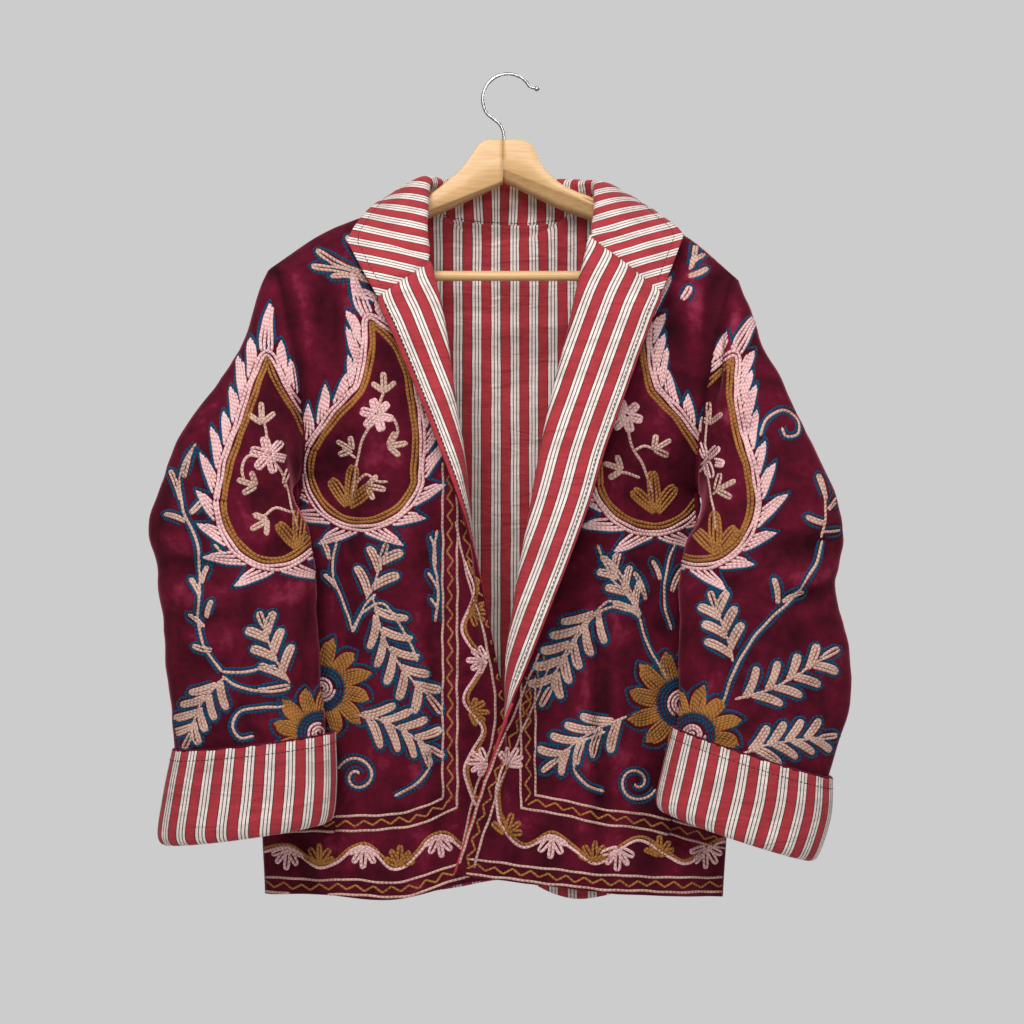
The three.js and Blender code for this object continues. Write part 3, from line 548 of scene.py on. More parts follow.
class Cloth:
    """A continuous piece: points (rows x columns), the velvet side's normals, its quads."""

    def __init__(self, name, points, sign, wrap=False, panel=True):
        self.name, self.p, self.sign, self.wrap, self.panel = name, points, sign, wrap, panel
        self.live = ~np.isnan(points[..., 0])
        self.measure()

    def quads(self):
        r, c = self.p.shape[:2]
        i, j = np.meshgrid(np.arange(r - 1), np.arange(c if self.wrap else c - 1), indexing="ij")
        i, j = i.ravel(), j.ravel()
        j2 = (j + 1) % c
        ok = self.live[i, j] & self.live[i + 1, j] & self.live[i, j2] & self.live[i + 1, j2]
        return i[ok], j[ok], j2[ok]

    def measure(self):
        i, j, j2 = self.quads()
        p = self.p
        a, b, c, d = p[i, j], p[i, j2], p[i + 1, j2], p[i + 1, j]
        n = unit(np.cross(c - a, d - b)) * self.sign
        middle = (a + b + c + d) / 4
        normals, inward = np.zeros_like(p), np.zeros_like(p)
        for r, s in ((i, j), (i, j2), (i + 1, j2), (i + 1, j)):
            np.add.at(normals, (r, s), n)
            np.add.at(inward, (r, s), unit(middle - p[r, s]))
        self.n, self.inward = unit(normals), inward


def smooth(x, a, b):
    t = np.clip((x - a) / (b - a), 0, 1)
    return t * t * (3 - 2 * t)


def seam_distance(cloth):
    """Millimetres from the nearest sewn edge, along the grid's own lines."""
    p = np.nan_to_num(cloth.p)
    across = np.concatenate([np.zeros((p.shape[0], 1)), np.cumsum(np.linalg.norm(np.diff(p, axis=1), axis=2), axis=1)], axis=1)
    along = np.concatenate([np.zeros((1, p.shape[1])), np.cumsum(np.linalg.norm(np.diff(p, axis=0), axis=2), axis=0)], axis=0)
    if cloth.name.startswith("front"):
        d = np.minimum(across, along)
        fold = len(PANEL) - 1
        up = int(np.argmin(abs(ROWS - GORGE)))
        neck = across[:, fold:fold + 1] - across
        d[:up] = np.minimum(d[:up], np.abs(neck[:up]))
        gorge = along - along[up]
        d[up:, fold:] = np.minimum(d[up:, fold:], gorge[up:, fold:])
        return d
    if cloth.name == "back":
        return np.minimum(np.minimum(across, across[:, -1:] - across), along)
    if cloth.name.startswith("sleeve"):
        return along
    return across          # the collar's seam is its first column


def crease(cloth):
    px = to_px(np.nan_to_num(cloth.p))
    total = np.zeros(cloth.p.shape[:2])
    wobble = np.sin(px[..., 0] * 0.071 + px[..., 1] * 0.033) * np.sin(px[..., 1] * 0.052 - px[..., 0] * 0.021 + 1.3)
    total += 0.9 * wobble + 0.35 * np.sin(px[..., 0] * 0.17 + 2 * np.sin(px[..., 1] * 0.06)) * np.sin(px[..., 1] * 0.13)
    for row in CREASES:
        if row["piece"] != cloth.name:
            continue
        p0, p1, p2 = (np.array([row[f"px{k}"], row[f"py{k}"]]) for k in range(3))
        t = np.linspace(0, 1, 25)[:, None]
        line = p0 * (1 - t) ** 2 + 2 * p1 * t * (1 - t) + p2 * t * t
        best = np.full(px.shape[:2], 1e9)
        where = np.zeros(px.shape[:2])
        for n, q in enumerate(line):
            d = np.hypot(px[..., 0] - q[0], px[..., 1] - q[1])
            near = d < best
            best = np.where(near, d, best)
            where = np.where(near, n / 24, where)
        w = row["width"]
        taper = np.sin(np.clip(where, 0.0, 1.0) * math.pi * 0.86 + 0.22) ** 0.8
        shape = np.exp(-(best / w) ** 2) - 0.28 * np.exp(-((best - 2.0 * w) / (0.9 * w)) ** 2)
        add = row["depth"] * taper * shape
        if row["side"] != "all":
            front = (AROUND_K > 0) & (AROUND_K < 8)
            edge = np.abs(np.sin(2 * math.pi * AROUND_K / AROUND)) ** 0.5
            keep = (front if row["side"] == "front" else ~front) * edge
            add = add * keep[None, :]
        total += add
    return total


def build_cloth():
    fr = front_grid(FRONT_RIGHT, SLEEVE_RIGHT, "right")
    fl = front_grid(FRONT_LEFT, SLEEVE_LEFT, "left")
    bk = back_grid(fr, fl)
    co = collar_grid(fr, fl, bk)
    cloths = {
        "front_right": Cloth("front_right", fr, -1),
        "front_left": Cloth("front_left", fl, 1),
        "back": Cloth("back", bk, 1),
        "sleeve_right": Cloth("sleeve_right", sleeve_grid(SLEEVE_RIGHT), -1, wrap=True, panel=False),
        "sleeve_left": Cloth("sleeve_left", sleeve_grid(SLEEVE_LEFT), 1, wrap=True, panel=False),
        "collar": Cloth("collar", co, 1, panel=False),
    }
    for c in cloths.values():
        d = seam_distance(c)
        move = crease(c)
        if c.name.startswith("sleeve"):      # the turned-back end keeps its own shape
            move = move * (1 - smooth(RINGS, 8.6, 9.8))[:, None]
        if c.name.startswith("front"):       # the lapels lie smoothly above the hem
            flap = np.zeros(c.p.shape[:2])
            flap[:, len(PANEL):] = 1
            lower = smooth(ROWS, 10.5, 12.5)[:, None]
            move = move * (1 - flap * (1 - lower) * 0.75)
        move = move * smooth(d, 2, 16)
        # cloth dips to its seams and puckers along them
        pucker = np.sin(0.55 * to_px(np.nan_to_num(c.p)).sum(axis=-1)) * np.exp(-(d / 9) ** 2) * smooth(d, 0, 3) * 0.45
        dip = -2.1 * np.exp(-(d / 4.0) ** 2)
        # painted shade: the fold value below also darkens the velvet's colour near every seam
        arm = 0.75 * np.exp(-(d / 5) ** 2) + 0.30 * np.exp(-(d / 20) ** 2)
        c.fold = np.clip(move / 3.2, -1, 1) - arm * (0 if c.name == "collar" else 1)
        c.p = c.p + c.n * (1.4 * move + pucker)[..., None]
        if c.name.startswith("front"):       # a groove on the side that shows
            dip = dip * np.clip(1 - np.maximum(np.arange(c.p.shape[1]) - len(PANEL) + 1, 0) / 1.5, -1, 1)[None, :]
        if c.name == "collar":
            t = np.minimum(np.array(COLLAR_T), 14 - np.array(COLLAR_T))
            dip = dip * np.clip((t - 2) / 0.15, -1, 1)[:, None]
        c.dip = dip
        c.seam_d = d
        c.measure()
    back = cloths["back"]
    x = to_px(np.nan_to_num(back.p))[..., 0]
    rise = 6.0 * np.exp(-((x - 436) / 30) ** 2) + 3.0 * np.exp(-((x - 528) / 16) ** 2)
    back.p[..., 2] += rise * smooth(ROWS, 12.4, 14)[:, None]
    back.measure()
    # the side seam just under the right arm swells to meet the sleeve in front of it
    for name in ("front_right", "back"):
        c = cloths[name]
        p = np.nan_to_num(c.p)
        c.p[..., 0] -= 7 * np.exp(-((p[..., 2] + 420) / 12) ** 2 - ((p[..., 0] + 212) / 12) ** 2) * smooth(ROWS, 8.0, 8.4)[:, None]
        c.measure()
    # one normal where pieces meet, and each piece stops short of the seam line
    spots = {}
    for c in cloths.values():
        edge = np.argwhere(c.live & (c.seam_d < 0.5))
        for i, j in edge:
            key = tuple(np.floor(c.p[i, j] * 50 + 0.137).astype(int))
            spots.setdefault(key, []).append((c, i, j))
    for group in spots.values():
        if len({g[0].name for g in group}) < 2:
            continue
        body = [q.n[i, j] for q, i, j in group if q.panel]
        rest = [q.n[i, j] for q, i, j in group if not q.panel]
        n = unit(sum(([unit(sum(body))] if body else []) + rest))
        for q, i, j in group:
            inward = unit(q.inward[i, j] - n * (q.inward[i, j] @ n))
            q.n[i, j] = n
            q.p[i, j] = q.p[i, j] + inward * (SEAM if q.name != "collar" else 0.5)
    for c in cloths.values():
        c.p = c.p + c.n * c.dip[..., None]
    return cloths


def tucked(cloth):
    """Lining right under the arm, which the seams pull out of sight."""
    i, j, _ = cloth.quads()
    if cloth.name.startswith("sleeve"):
        return (cloth.seam_d[i, j] < 46) & (np.abs(AROUND_K[j] - 8) < 3.6)
    if cloth.name.startswith("front") or cloth.name == "back":
        p = np.nan_to_num(cloth.p)
        across = np.concatenate([np.zeros((p.shape[0], 1)), np.cumsum(np.linalg.norm(np.diff(p, axis=1), axis=2), axis=1)], axis=1)
        side = across if cloth.name != "back" else np.minimum(across, across[:, -1:] - across)
        return (side[i, j] < 28) & (np.abs(ROWS[i] - 8) < 1.7)
    return np.zeros(len(i), bool)


def shell(name, cloth, near, far, uv, skip=None):
    """A closed thin shell between two depths below the velvet face, with rounded rims."""
    r, c = cloth.p.shape[:2]
    i, j, j2 = cloth.quads()
    if skip is not None:
        i, j, j2 = i[~skip], j[~skip], j2[~skip]
    number = np.arange(r * c).reshape(r, c)
    n_layer = r * c
    outer = (cloth.p - cloth.n * near).reshape(-1, 3)
    inner = (cloth.p - cloth.n * far).reshape(-1, 3)
    quad = np.stack([number[i, j], number[i + 1, j], number[i + 1, j2], number[i, j2]], axis=1)
    # uv of each corner: a wrapped piece's last column takes the far end of the scale
    cu = np.stack([uv[0][i, j], uv[0][i + 1, j], uv[0][i + 1, j + 1], uv[0][i, j + 1]], axis=1)
    cv = np.stack([uv[1][i, j], uv[1][i + 1, j], uv[1][i + 1, j + 1], uv[1][i, j + 1]], axis=1)
    if cloth.sign < 0:
        quad, cu, cv = quad[:, ::-1], cu[:, ::-1], cv[:, ::-1]
    a, b = quad.ravel(), np.roll(quad, -1, axis=1).ravel()
    au, av = cu.ravel(), cv.ravel()
    bu, bv = np.roll(cu, -1, axis=1).ravel(), np.roll(cv, -1, axis=1).ravel()
    key, back = a.astype(np.int64) * n_layer + b, b.astype(np.int64) * n_layer + a
    rim = ~np.isin(key, back)
    a, b, au, av, bu, bv = a[rim], b[rim], au[rim], av[rim], bu[rim], bv[rim]
    used = np.unique(np.concatenate([a, b]))
    flat_n, flat_in = cloth.n.reshape(-1, 3), cloth.inward.reshape(-1, 3)
    out = flat_in[used] - flat_n[used] * np.sum(flat_in[used] * flat_n[used], axis=1)[:, None]
    thick = far - near
    mids = (outer[used] + inner[used]) / 2 - unit(out) * thick * 0.55
    where = np.full(n_layer, -1)
    where[used] = np.arange(len(used)) + 2 * n_layer
    rim1 = np.stack([b, a, where[a], where[b]], axis=1)
    rim2 = np.stack([where[b], where[a], a + n_layer, b + n_layer], axis=1)
    ru = np.stack([bu, au, au, bu], axis=1)
    rv = np.stack([bv, av, av, bv], axis=1)
    faces = np.concatenate([quad, quad[:, ::-1] + n_layer, rim1, rim2])
    us = np.concatenate([cu, cu[:, ::-1], ru, ru])
    vs = np.concatenate([cv, cv[:, ::-1], rv, rv])
    points = np.concatenate([outer, inner, mids])
    keep = np.unique(faces)
    renumber = np.full(len(points), -1)
    renumber[keep] = np.arange(len(keep))
    o = mesh_object(name, points[keep], renumber[faces], us, vs)
    # how deep in a fold each point lies and how near a seam: painted shade darkens the velvet's colour in troughs and
    # by seams, painted highlight makes it paler on ridges
    fold = np.concatenate([cloth.fold.ravel(), cloth.fold.ravel(), cloth.fold.ravel()[used]])
    layer = o.data.attributes.new("fold", "FLOAT", "POINT")
    layer.data.foreach_set("value", fold[keep].astype(np.float32))
    return o


def mesh_object(name, points, faces, us=None, vs=None):
    """points in millimetres; faces all of one size."""
    mesh = bpy.data.meshes.new(name)
    n, k = faces.shape
    mesh.vertices.add(len(points))
    mesh.vertices.foreach_set("co", (np.asarray(points) * MM).astype(np.float32).ravel())
    mesh.loops.add(n * k)
    mesh.loops.foreach_set("vertex_index", faces.astype(np.int32).ravel())
    mesh.polygons.add(n)
    mesh.polygons.foreach_set("loop_start", np.arange(0, n * k, k, dtype=np.int32))
    mesh.update(calc_edges=True)
    mesh.validate()
    mesh.shade_smooth()
    if us is not None:
        layer = mesh.uv_layers.new(name="UVMap")
        layer.data.foreach_set("uv", np.stack([us.ravel(), vs.ravel()], axis=1).astype(np.float32).ravel())
    o = bpy.data.objects.new(name, mesh)
    bpy.context.scene.collection.objects.link(o)
    return o


# ---- materials -----------------------------------------------------------------------
def srgb(r, g, b):
    def lin(v):
        v /= 255
        return v / 12.92 if v <= 0.04045 else ((v + 0.055) / 1.055) ** 2.4
    return (lin(r), lin(g), lin(b), 1.0)


class Nodes:
    """A short way to wire a material."""

    def __init__(self, name):
        self.mat = bpy.data.materials.new(name)
        self.mat.use_nodes = True
        self.tree = self.mat.node_tree
        self.shader = self.tree.nodes["Principled BSDF"]

    def new(self, kind, **values):
        node = self.tree.nodes.new(kind)
        for key, value in values.items():
            if hasattr(node, key):
                setattr(node, key, value)
            else:
                node.inputs[key.replace("_", " ")].default_value = value
        return node

    def link(self, a, out, b, into):
        self.tree.links.new(a.outputs[out], b.inputs[into])

    def set(self, **values):
        for key, value in values.items():
            self.shader.inputs[key.replace("_", " ")].default_value = value

    def math(self, op, a, b=None):
        node = self.tree.nodes.new("ShaderNodeMath")
        node.operation = op
        for k, v in enumerate((a, b)):
            if v is None:
                continue
            if isinstance(v, (int, float)):
                node.inputs[k].default_value = v
            else:
                self.tree.links.new(v, node.inputs[k])
        return node.outputs[0]

    def ramp(self, fac, stops, interpolation="LINEAR"):
        node = self.tree.nodes.new("ShaderNodeValToRGB")
        node.color_ramp.interpolation = interpolation
        elements = node.color_ramp.elements
        while len(elements) < len(stops):
            elements.new(0.5)
        for e, (pos, color) in zip(elements, stops):
            e.position, e.color = pos, color
        self.tree.links.new(fac, node.inputs[0])
        return node.outputs[0]

    def bump(self, height, strength, distance, after=None):
        node = self.tree.nodes.new("ShaderNodeBump")
        node.inputs["Strength"].default_value = strength
        node.inputs["Distance"].default_value = distance
        self.tree.links.new(height, node.inputs["Height"])
        if after is not None:
            self.tree.links.new(after, node.inputs["Normal"])
        return node.outputs[0]


def noise(m, scale, detail=4, rough=0.6, stretch=None, distortion=0.0):
    coord = m.new("ShaderNodeTexCoord")
    node = m.new("ShaderNodeTexNoise", Scale=scale, Detail=detail, Roughness=rough, Distortion=distortion)
    if stretch:
        mapping = m.new("ShaderNodeMapping")
        mapping.inputs["Scale"].default_value = stretch
        m.link(coord, "Object", mapping, "Vector")
        m.link(mapping, "Vector", node, "Vector")
    else:
        m.link(coord, "Object", node, "Vector")
    return node.outputs["Fac"]


def velvet_material():
    m = Nodes("velvet_burgundy")
    broad = noise(m, 24, 5, 0.66, distortion=0.5)
    fine = noise(m, 95, 3, 0.6)
    both = m.math("ADD", m.math("MULTIPLY", broad, 0.72), m.math("MULTIPLY", fine, 0.28))
    fold = m.new("ShaderNodeAttribute", attribute_name="fold").outputs["Fac"]
    # painted shade and highlight: the fold value darkens the colour in troughs and by seams and lightens it on ridges
    tone = m.math("ADD", both, m.math("MULTIPLY", fold, 0.13))
    color = m.ramp(tone, [(0.20, srgb(34, 2, 11)), (0.41, srgb(66, 7, 24)), (0.58, srgb(92, 13, 36)), (0.82, srgb(146, 48, 72))])
    m.tree.links.new(color, m.shader.inputs["Base Color"])
    nap = noise(m, 900, 2, 0.5)
    height = m.math("ADD", m.math("MULTIPLY", fine, 0.6), m.math("MULTIPLY", nap, 0.4))
    m.tree.links.new(m.bump(height, 0.35, 0.0012), m.shader.inputs["Normal"])
    m.set(Roughness=0.92, Specular_IOR_Level=0.12, Sheen_Weight=0.85, Sheen_Roughness=0.30, Sheen_Tint=srgb(205, 104, 126))
    return m.mat


STRIPES = table("""
  from   r    g    b
  0.000  172  52   60
  0.450  46   34   34
  0.496  238  222  214
  0.618  46   34   34
  0.664  240  226  218
  0.790  46   34   34
  0.836  238  222  214
  0.954  46   34   34
""")


def lining_material():
    m = Nodes("lining_stripes")
    uv = m.new("ShaderNodeTexCoord")
    parts = m.new("ShaderNodeSeparateXYZ")
    m.link(uv, "UV", parts, "Vector")
    u, v = parts.outputs["X"], parts.outputs["Y"]
    wander = m.math("MULTIPLY", m.math("SUBTRACT", noise(m, 30, 2, 0.5), 0.5), 0.03)
    phase = m.math("FRACT", m.math("ADD", u, wander))
    base = m.ramp(phase, [(r["from"], srgb(r["r"], r["g"], r["b"])) for r in STRIPES], "CONSTANT")
    slub = noise(m, 60, 4, 0.65)
    crinkle = noise(m, 22, 4, 0.55, stretch=(0.9, 0.9, 3.4), distortion=1.1)
    # the lining's colour is darkened by slubs in the yarn, a tone of its own, and by the crinkles, painted shade in the
    # creases that the bump also draws
    slub_and_crinkle_shade = m.math("ADD", m.math("MULTIPLY", slub, 0.5), m.math("MULTIPLY", crinkle, 0.5))
    slub_and_shade_mix = m.new("ShaderNodeMix", data_type="RGBA", blend_type="MULTIPLY")
    slub_and_shade_mix.inputs["Factor"].default_value = 1.0
    m.tree.links.new(base, slub_and_shade_mix.inputs["A"])
    m.tree.links.new(m.ramp(slub_and_crinkle_shade, [(0.34, (0.72, 0.70, 0.70, 1)), (0.60, (1.0, 1.0, 1.0, 1))]), slub_and_shade_mix.inputs["B"])
    m.tree.links.new(slub_and_shade_mix.outputs["Result"], m.shader.inputs["Base Color"])
    warp = m.math("SINE", m.math("MULTIPLY", u, 2 * math.pi * 24))
    weft = m.math("SINE", m.math("MULTIPLY", v, 2 * math.pi * 24))
    weave = m.math("MULTIPLY", m.math("ADD", warp, weft), 0.25)
    first = m.bump(weave, 0.25, 0.0004)
    second = m.bump(slub, 0.4, 0.0012, first)
    m.tree.links.new(m.bump(crinkle, 0.6, 0.006, second), m.shader.inputs["Normal"])
    m.set(Roughness=0.8, Specular_IOR_Level=0.2, Sheen_Weight=0.08, Sheen_Roughness=0.5)
    return m.mat


def thread_material(name, color, deep_and_shade):
    """Chain-stitched cotton: u counts stitches along the row, v runs across it."""
    m = Nodes(name)
    uv = m.new("ShaderNodeTexCoord")
    parts = m.new("ShaderNodeSeparateXYZ")
    m.link(uv, "UV", parts, "Vector")
    u, v = parts.outputs["X"], parts.outputs["Y"]
    side = m.math("ABSOLUTE", m.math("SUBTRACT", v, 0.5))
    slant = m.math("ADD", m.math("MULTIPLY", u, 2 * math.pi), m.math("MULTIPLY", side, 5.0))
    ply = m.math("SINE", m.math("MULTIPLY", slant, 2.0))
    loop = m.math("SINE", slant)
    height = m.math("ADD", m.math("MULTIPLY", loop, 0.7), m.math("MULTIPLY", ply, 0.3))
    # painted shade and highlight: each loop is painted paler at its crest and darker between, and the groove down the
    # middle darker still; the noise is the thread's own uneven tone
    shade = m.math("ADD", m.math("MULTIPLY", loop, 0.22), m.math("MULTIPLY", noise(m, 45, 3, 0.6), 0.9))
    groove = m.math("GREATER_THAN", side, 0.06)
    tone = m.math("MULTIPLY", m.math("ADD", m.math("MULTIPLY", groove, 0.16), 0.84), shade)
    col = m.ramp(tone, [(0.12, deep_and_shade), (0.50, color), (0.85, tuple(min(1.0, c * 1.22) for c in color[:3]) + (1.0,))])
    m.tree.links.new(col, m.shader.inputs["Base Color"])
    m.tree.links.new(m.bump(height, 0.55, 0.0008), m.shader.inputs["Normal"])
    m.set(Roughness=0.78, Specular_IOR_Level=0.2, Sheen_Weight=0.06, Sheen_Roughness=0.5)
    return m.mat


def wood_material():
    m = Nodes("beech_wood")
    grain = noise(m, 26, 5, 0.6, stretch=(1.2, 14, 14), distortion=0.5)
    col = m.ramp(grain, [(0.30, srgb(200, 154, 102)), (0.50, srgb(212, 169, 116)), (0.70, srgb(220, 180, 128))])
    m.tree.links.new(col, m.shader.inputs["Base Color"])
    m.tree.links.new(m.bump(grain, 0.15, 0.0006), m.shader.inputs["Normal"])
    m.set(Roughness=0.42, Specular_IOR_Level=0.45, Coat_Weight=0.15, Coat_Roughness=0.3)
    return m.mat


def plain_material(name, color, roughness, metallic=0.0, bump=None):
    m = Nodes(name)
    m.set(Base_Color=color, Roughness=roughness, Metallic=metallic)
    return m.mat


# ---- the cloth pieces ------------------------------------------------------------------
def steps(p, axis):
    d = np.linalg.norm(np.diff(np.nan_to_num(p), axis=axis), axis=2)
    z = np.zeros((p.shape[0], 1)) if axis == 1 else np.zeros((1, p.shape[1]))
    return np.concatenate([z, np.cumsum(d, axis=axis)], axis=axis)


def cloth_uv(c):
    """u counts stripe repeats, v runs along them in the same unit."""
    across, along = steps(c.p, 1), steps(c.p, 0)
    if c.name == "back":
        u = (np.nan_to_num(c.p)[..., 0] + BACK_PHASE) / PITCH
        v = along / PITCH
    elif c.name.startswith("front"):
        # stripes run parallel to the front edge, so they count from it
        g = int(np.argmin(abs(ROWS - GORGE)))
        edge = np.where(np.arange(len(ROWS)) < g, across[:, len(PANEL) - 1] + 62, across[:, -1])
        u = (edge[:, None] - across) / PITCH + LAPEL_PHASE[c.name]
        v = along / PITCH
    elif c.name == "collar":
        # stripes run straight across the fold line; at the ends, square to its last stretch
        top = c.p[:, len(split([0, 1], [7])) - 1]
        n = len(top)
        run = np.concatenate([[0], np.cumsum(np.linalg.norm(np.diff(top, axis=0), axis=1))])
        run = run - run[n // 2]
        t = np.gradient(top, axis=0)
        for _ in range(14):
            t[1:-1] = (t[:-2] + 2 * t[1:-1] + t[2:]) / 4
        t = unit(t)
        u = (run[:, None] + np.sum((c.p - top[:, None]) * t[:, None], axis=2)) / PITCH
        station = np.array(COLLAR_T)
        for side, share, lean, count in ((1, station, COLLAR_LEAN[0], COLLAR_PACE[0]), (-1, 14 - station, COLLAR_LEAN[1], COLLAR_PACE[1])):
            turn = math.radians(lean)
            straight = side * (c.p[..., 0] * math.sin(turn) * side + c.p[..., 2] * math.cos(turn)) * count / PITCH
            at_join = int(np.argmin(abs(share - COLLAR_JOIN)))
            j = len(split([0, 1], [7])) - 1
            straight = straight + u[at_join, j] - straight[at_join, j]
            w = smooth(share, COLLAR_JOIN - 0.5, COLLAR_JOIN + 2.3)[:, None]
            u = u * w + straight * (1 - w)
        u = u + COLLAR_PHASE / PITCH
        v = across / PITCH
    else:
        ring = int(np.argmin(abs(RINGS - 13)))
        p = c.p[ring]
        loop = np.concatenate([[0], np.cumsum(np.linalg.norm(np.diff(np.concatenate([p, p[:1]]), axis=0), axis=1))])
        total = round(loop[-1] / PITCH)          # a whole number of repeats, so the wrap meets
        loop = loop / loop[-1] * total + CUFF_PHASE[c.name]
        u = np.repeat(loop[None, :], c.p.shape[0], axis=0)
        v = np.concatenate([along, along[:, :1]], axis=1) / PITCH
    return u, v


BACK_PHASE, COLLAR_PHASE = 7.4, 4.7
CUFF_PHASE = {"sleeve_right": 0.55, "sleeve_left": 0.05}
COLLAR_LEAN, COLLAR_PACE, COLLAR_JOIN = (13.0, 17.5), (1.34, 1.42), 4.2
LAPEL_PHASE = {"front_right": 0.22, "front_left": 0.40}
VELVET_PIECES = table("""
  node         cloth
  back         back
  front_right  front_right
  front_left   front_left
  sleeve_right sleeve_right
  sleeve_left  sleeve_left
  collar_under collar
""")
LINING_PIECES = table("""
  node                cloth
  back_lining         back
  front_lining_right  front_right
  front_lining_left   front_left
  sleeve_lining_right sleeve_right
  sleeve_lining_left  sleeve_left
  collar_upper        collar
""")


def dress(o, material, node=None, slot=None, replaces=True):
    o.data.materials.clear()
    o.data.materials.append(material)
    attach(o, "root")
    if replaces and node:
        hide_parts(node)
    return o


def flat_size(c):
    """The cut of a piece: its widest width, its length and its area, in metres."""
    p = np.nan_to_num(c.p)
    closed = np.concatenate([p, p[:, :1]], axis=1) if c.wrap else p
    live = np.concatenate([c.live, c.live[:, :1]], axis=1) if c.wrap else c.live
    d = np.linalg.norm(np.diff(closed, axis=1), axis=2) * (live[:, 1:] & live[:, :-1])
    e = np.linalg.norm(np.diff(p, axis=0), axis=2) * (c.live[1:] & c.live[:-1])
    i, j, j2 = c.quads()
    a, b, q, s = p[i, j], p[i, j2], p[i + 1, j2], p[i + 1, j]
    area = np.linalg.norm(np.cross(q - a, s - b), axis=1).sum() / 2
    return d.sum(axis=1).max() * MM, e.sum(axis=0).max() * MM, area * MM * MM


# ---- rolled edges and topstitching -------------------------------------------------------
def cord(name, line, radius, closed=False, sides=8):
    """A thin roll of cloth along a line."""
    line = np.asarray(line, float)
    step = (np.roll(line, -1, axis=0) - np.roll(line, 1, axis=0)) if closed else np.gradient(line, axis=0)
    t = unit(step)
    ref = np.array([0.3, 0.9, 0.2])
    a = unit(np.cross(t, ref))
    b = np.cross(t, a)
    angles = np.linspace(0, 2 * math.pi, sides, endpoint=False)
    run = np.concatenate([[0], np.cumsum(np.linalg.norm(np.diff(line, axis=0), axis=1))])
    r = radius * (1 + 0.10 * np.sin(run * 0.9) * np.sin(run * 0.31 + 1))
    rings = line[:, None] + r[:, None, None] * (np.cos(angles)[None, :, None] * a[:, None] + np.sin(angles)[None, :, None] * b[:, None])
    if not closed:
        return loft_object(name, rings)
    n, c = rings.shape[:2]
    i, j = np.meshgrid(np.arange(n), np.arange(c), indexing="ij")
    i, j = i.ravel(), j.ravel()
    i2, j2 = (i + 1) % n, (j + 1) % c
    faces = np.stack([i * c + j, i * c + j2, i2 * c + j2, i2 * c + j], axis=1)
    return mesh_object(name, rings.reshape(-1, 3), faces)


def inside(c, distance, along_rows, last=True):
    """Points of a cloth a given distance in from its last (or first) row or column."""
    p = np.nan_to_num(c.p)
    axis = 1 if along_rows else 0
    if last:
        p, n = np.flip(p, axis), np.flip(c.n, axis)
    else:
        n = c.n
    if axis == 0:
        p, n = p.transpose(1, 0, 2), n.transpose(1, 0, 2)
    points, normals = [], []
    for line, nn in zip(p, n):
        run = np.concatenate([[0], np.cumsum(np.linalg.norm(np.diff(line, axis=0), axis=1))])
        points.append([np.interp(distance, run, line[:, k]) for k in range(3)])
        normals.append([np.interp(distance, run, nn[:, k]) for k in range(3)])
    return np.array(points), unit(np.array(normals))


def topstitch(name, lines, depth, color):
    """Short straight stitches in a row on the lining side."""
    verts, faces, us, vs, base = [], [], [], [], 0
    for points, normals in lines:
        run = np.concatenate([[0], np.cumsum(np.linalg.norm(np.diff(points, axis=0), axis=1))])
        n = int(run[-1] / 4.8)
        for k in range(n):
            s = np.linspace(k * 4.8 + 0.5, k * 4.8 + 4.2, 4)
            p = np.stack([np.interp(s, run, points[:, m]) for m in range(3)], axis=1)
            nn = -unit(np.stack([np.interp(s, run, normals[:, m]) for m in range(3)], axis=1))
            made = ribbon_mesh(p + nn * depth, nn, 1.5, 0.5)
            verts.append(made[0])
            faces.append(made[1] + base)
            us.append(made[2])
            vs.append(made[3])
            base += len(made[0])
    verts, faces, us, vs = np.concatenate(verts), np.concatenate(faces), np.concatenate(us), np.concatenate(vs)
    o = mesh_object(name, verts, faces[:, ::-1], us[faces[:, ::-1]], vs[faces[:, ::-1]])
    print("topstitch", name, 2 * len(faces))
    return o


def ribbon_mesh(p, nn, width, height):
    n = len(p)
    t = unit(np.gradient(p, axis=0))
    side = unit(np.cross(t, nn))
    ends = np.ones(n)
    ends[0] = ends[-1] = 0.5
    w, h = (width / 2 * ends)[:, None], (height * ends)[:, None]
    verts = np.concatenate([p - side * w - nn * 0.3, p + nn * h, p + side * w - nn * 0.3])
    a = np.arange(n - 1)
    faces = np.concatenate([np.stack([a + k * n, a + 1 + k * n, a + 1 + (k + 1) * n, a + (k + 1) * n], axis=1) for k in range(2)])
    return verts, faces, np.tile(np.arange(n) / 3.0, 3), np.repeat([0.0, 0.5, 1.0], n)


UNDERARM_ROLL = table("""
  x      y     z
  -214.6 -20.0 -416
  -214.6 -22.5 -421
  -214.0 -25.5 -425
  -213.6 -28.0 -429
  -212.8 -30.0 -433
  -212.2 -31.5 -436
""")


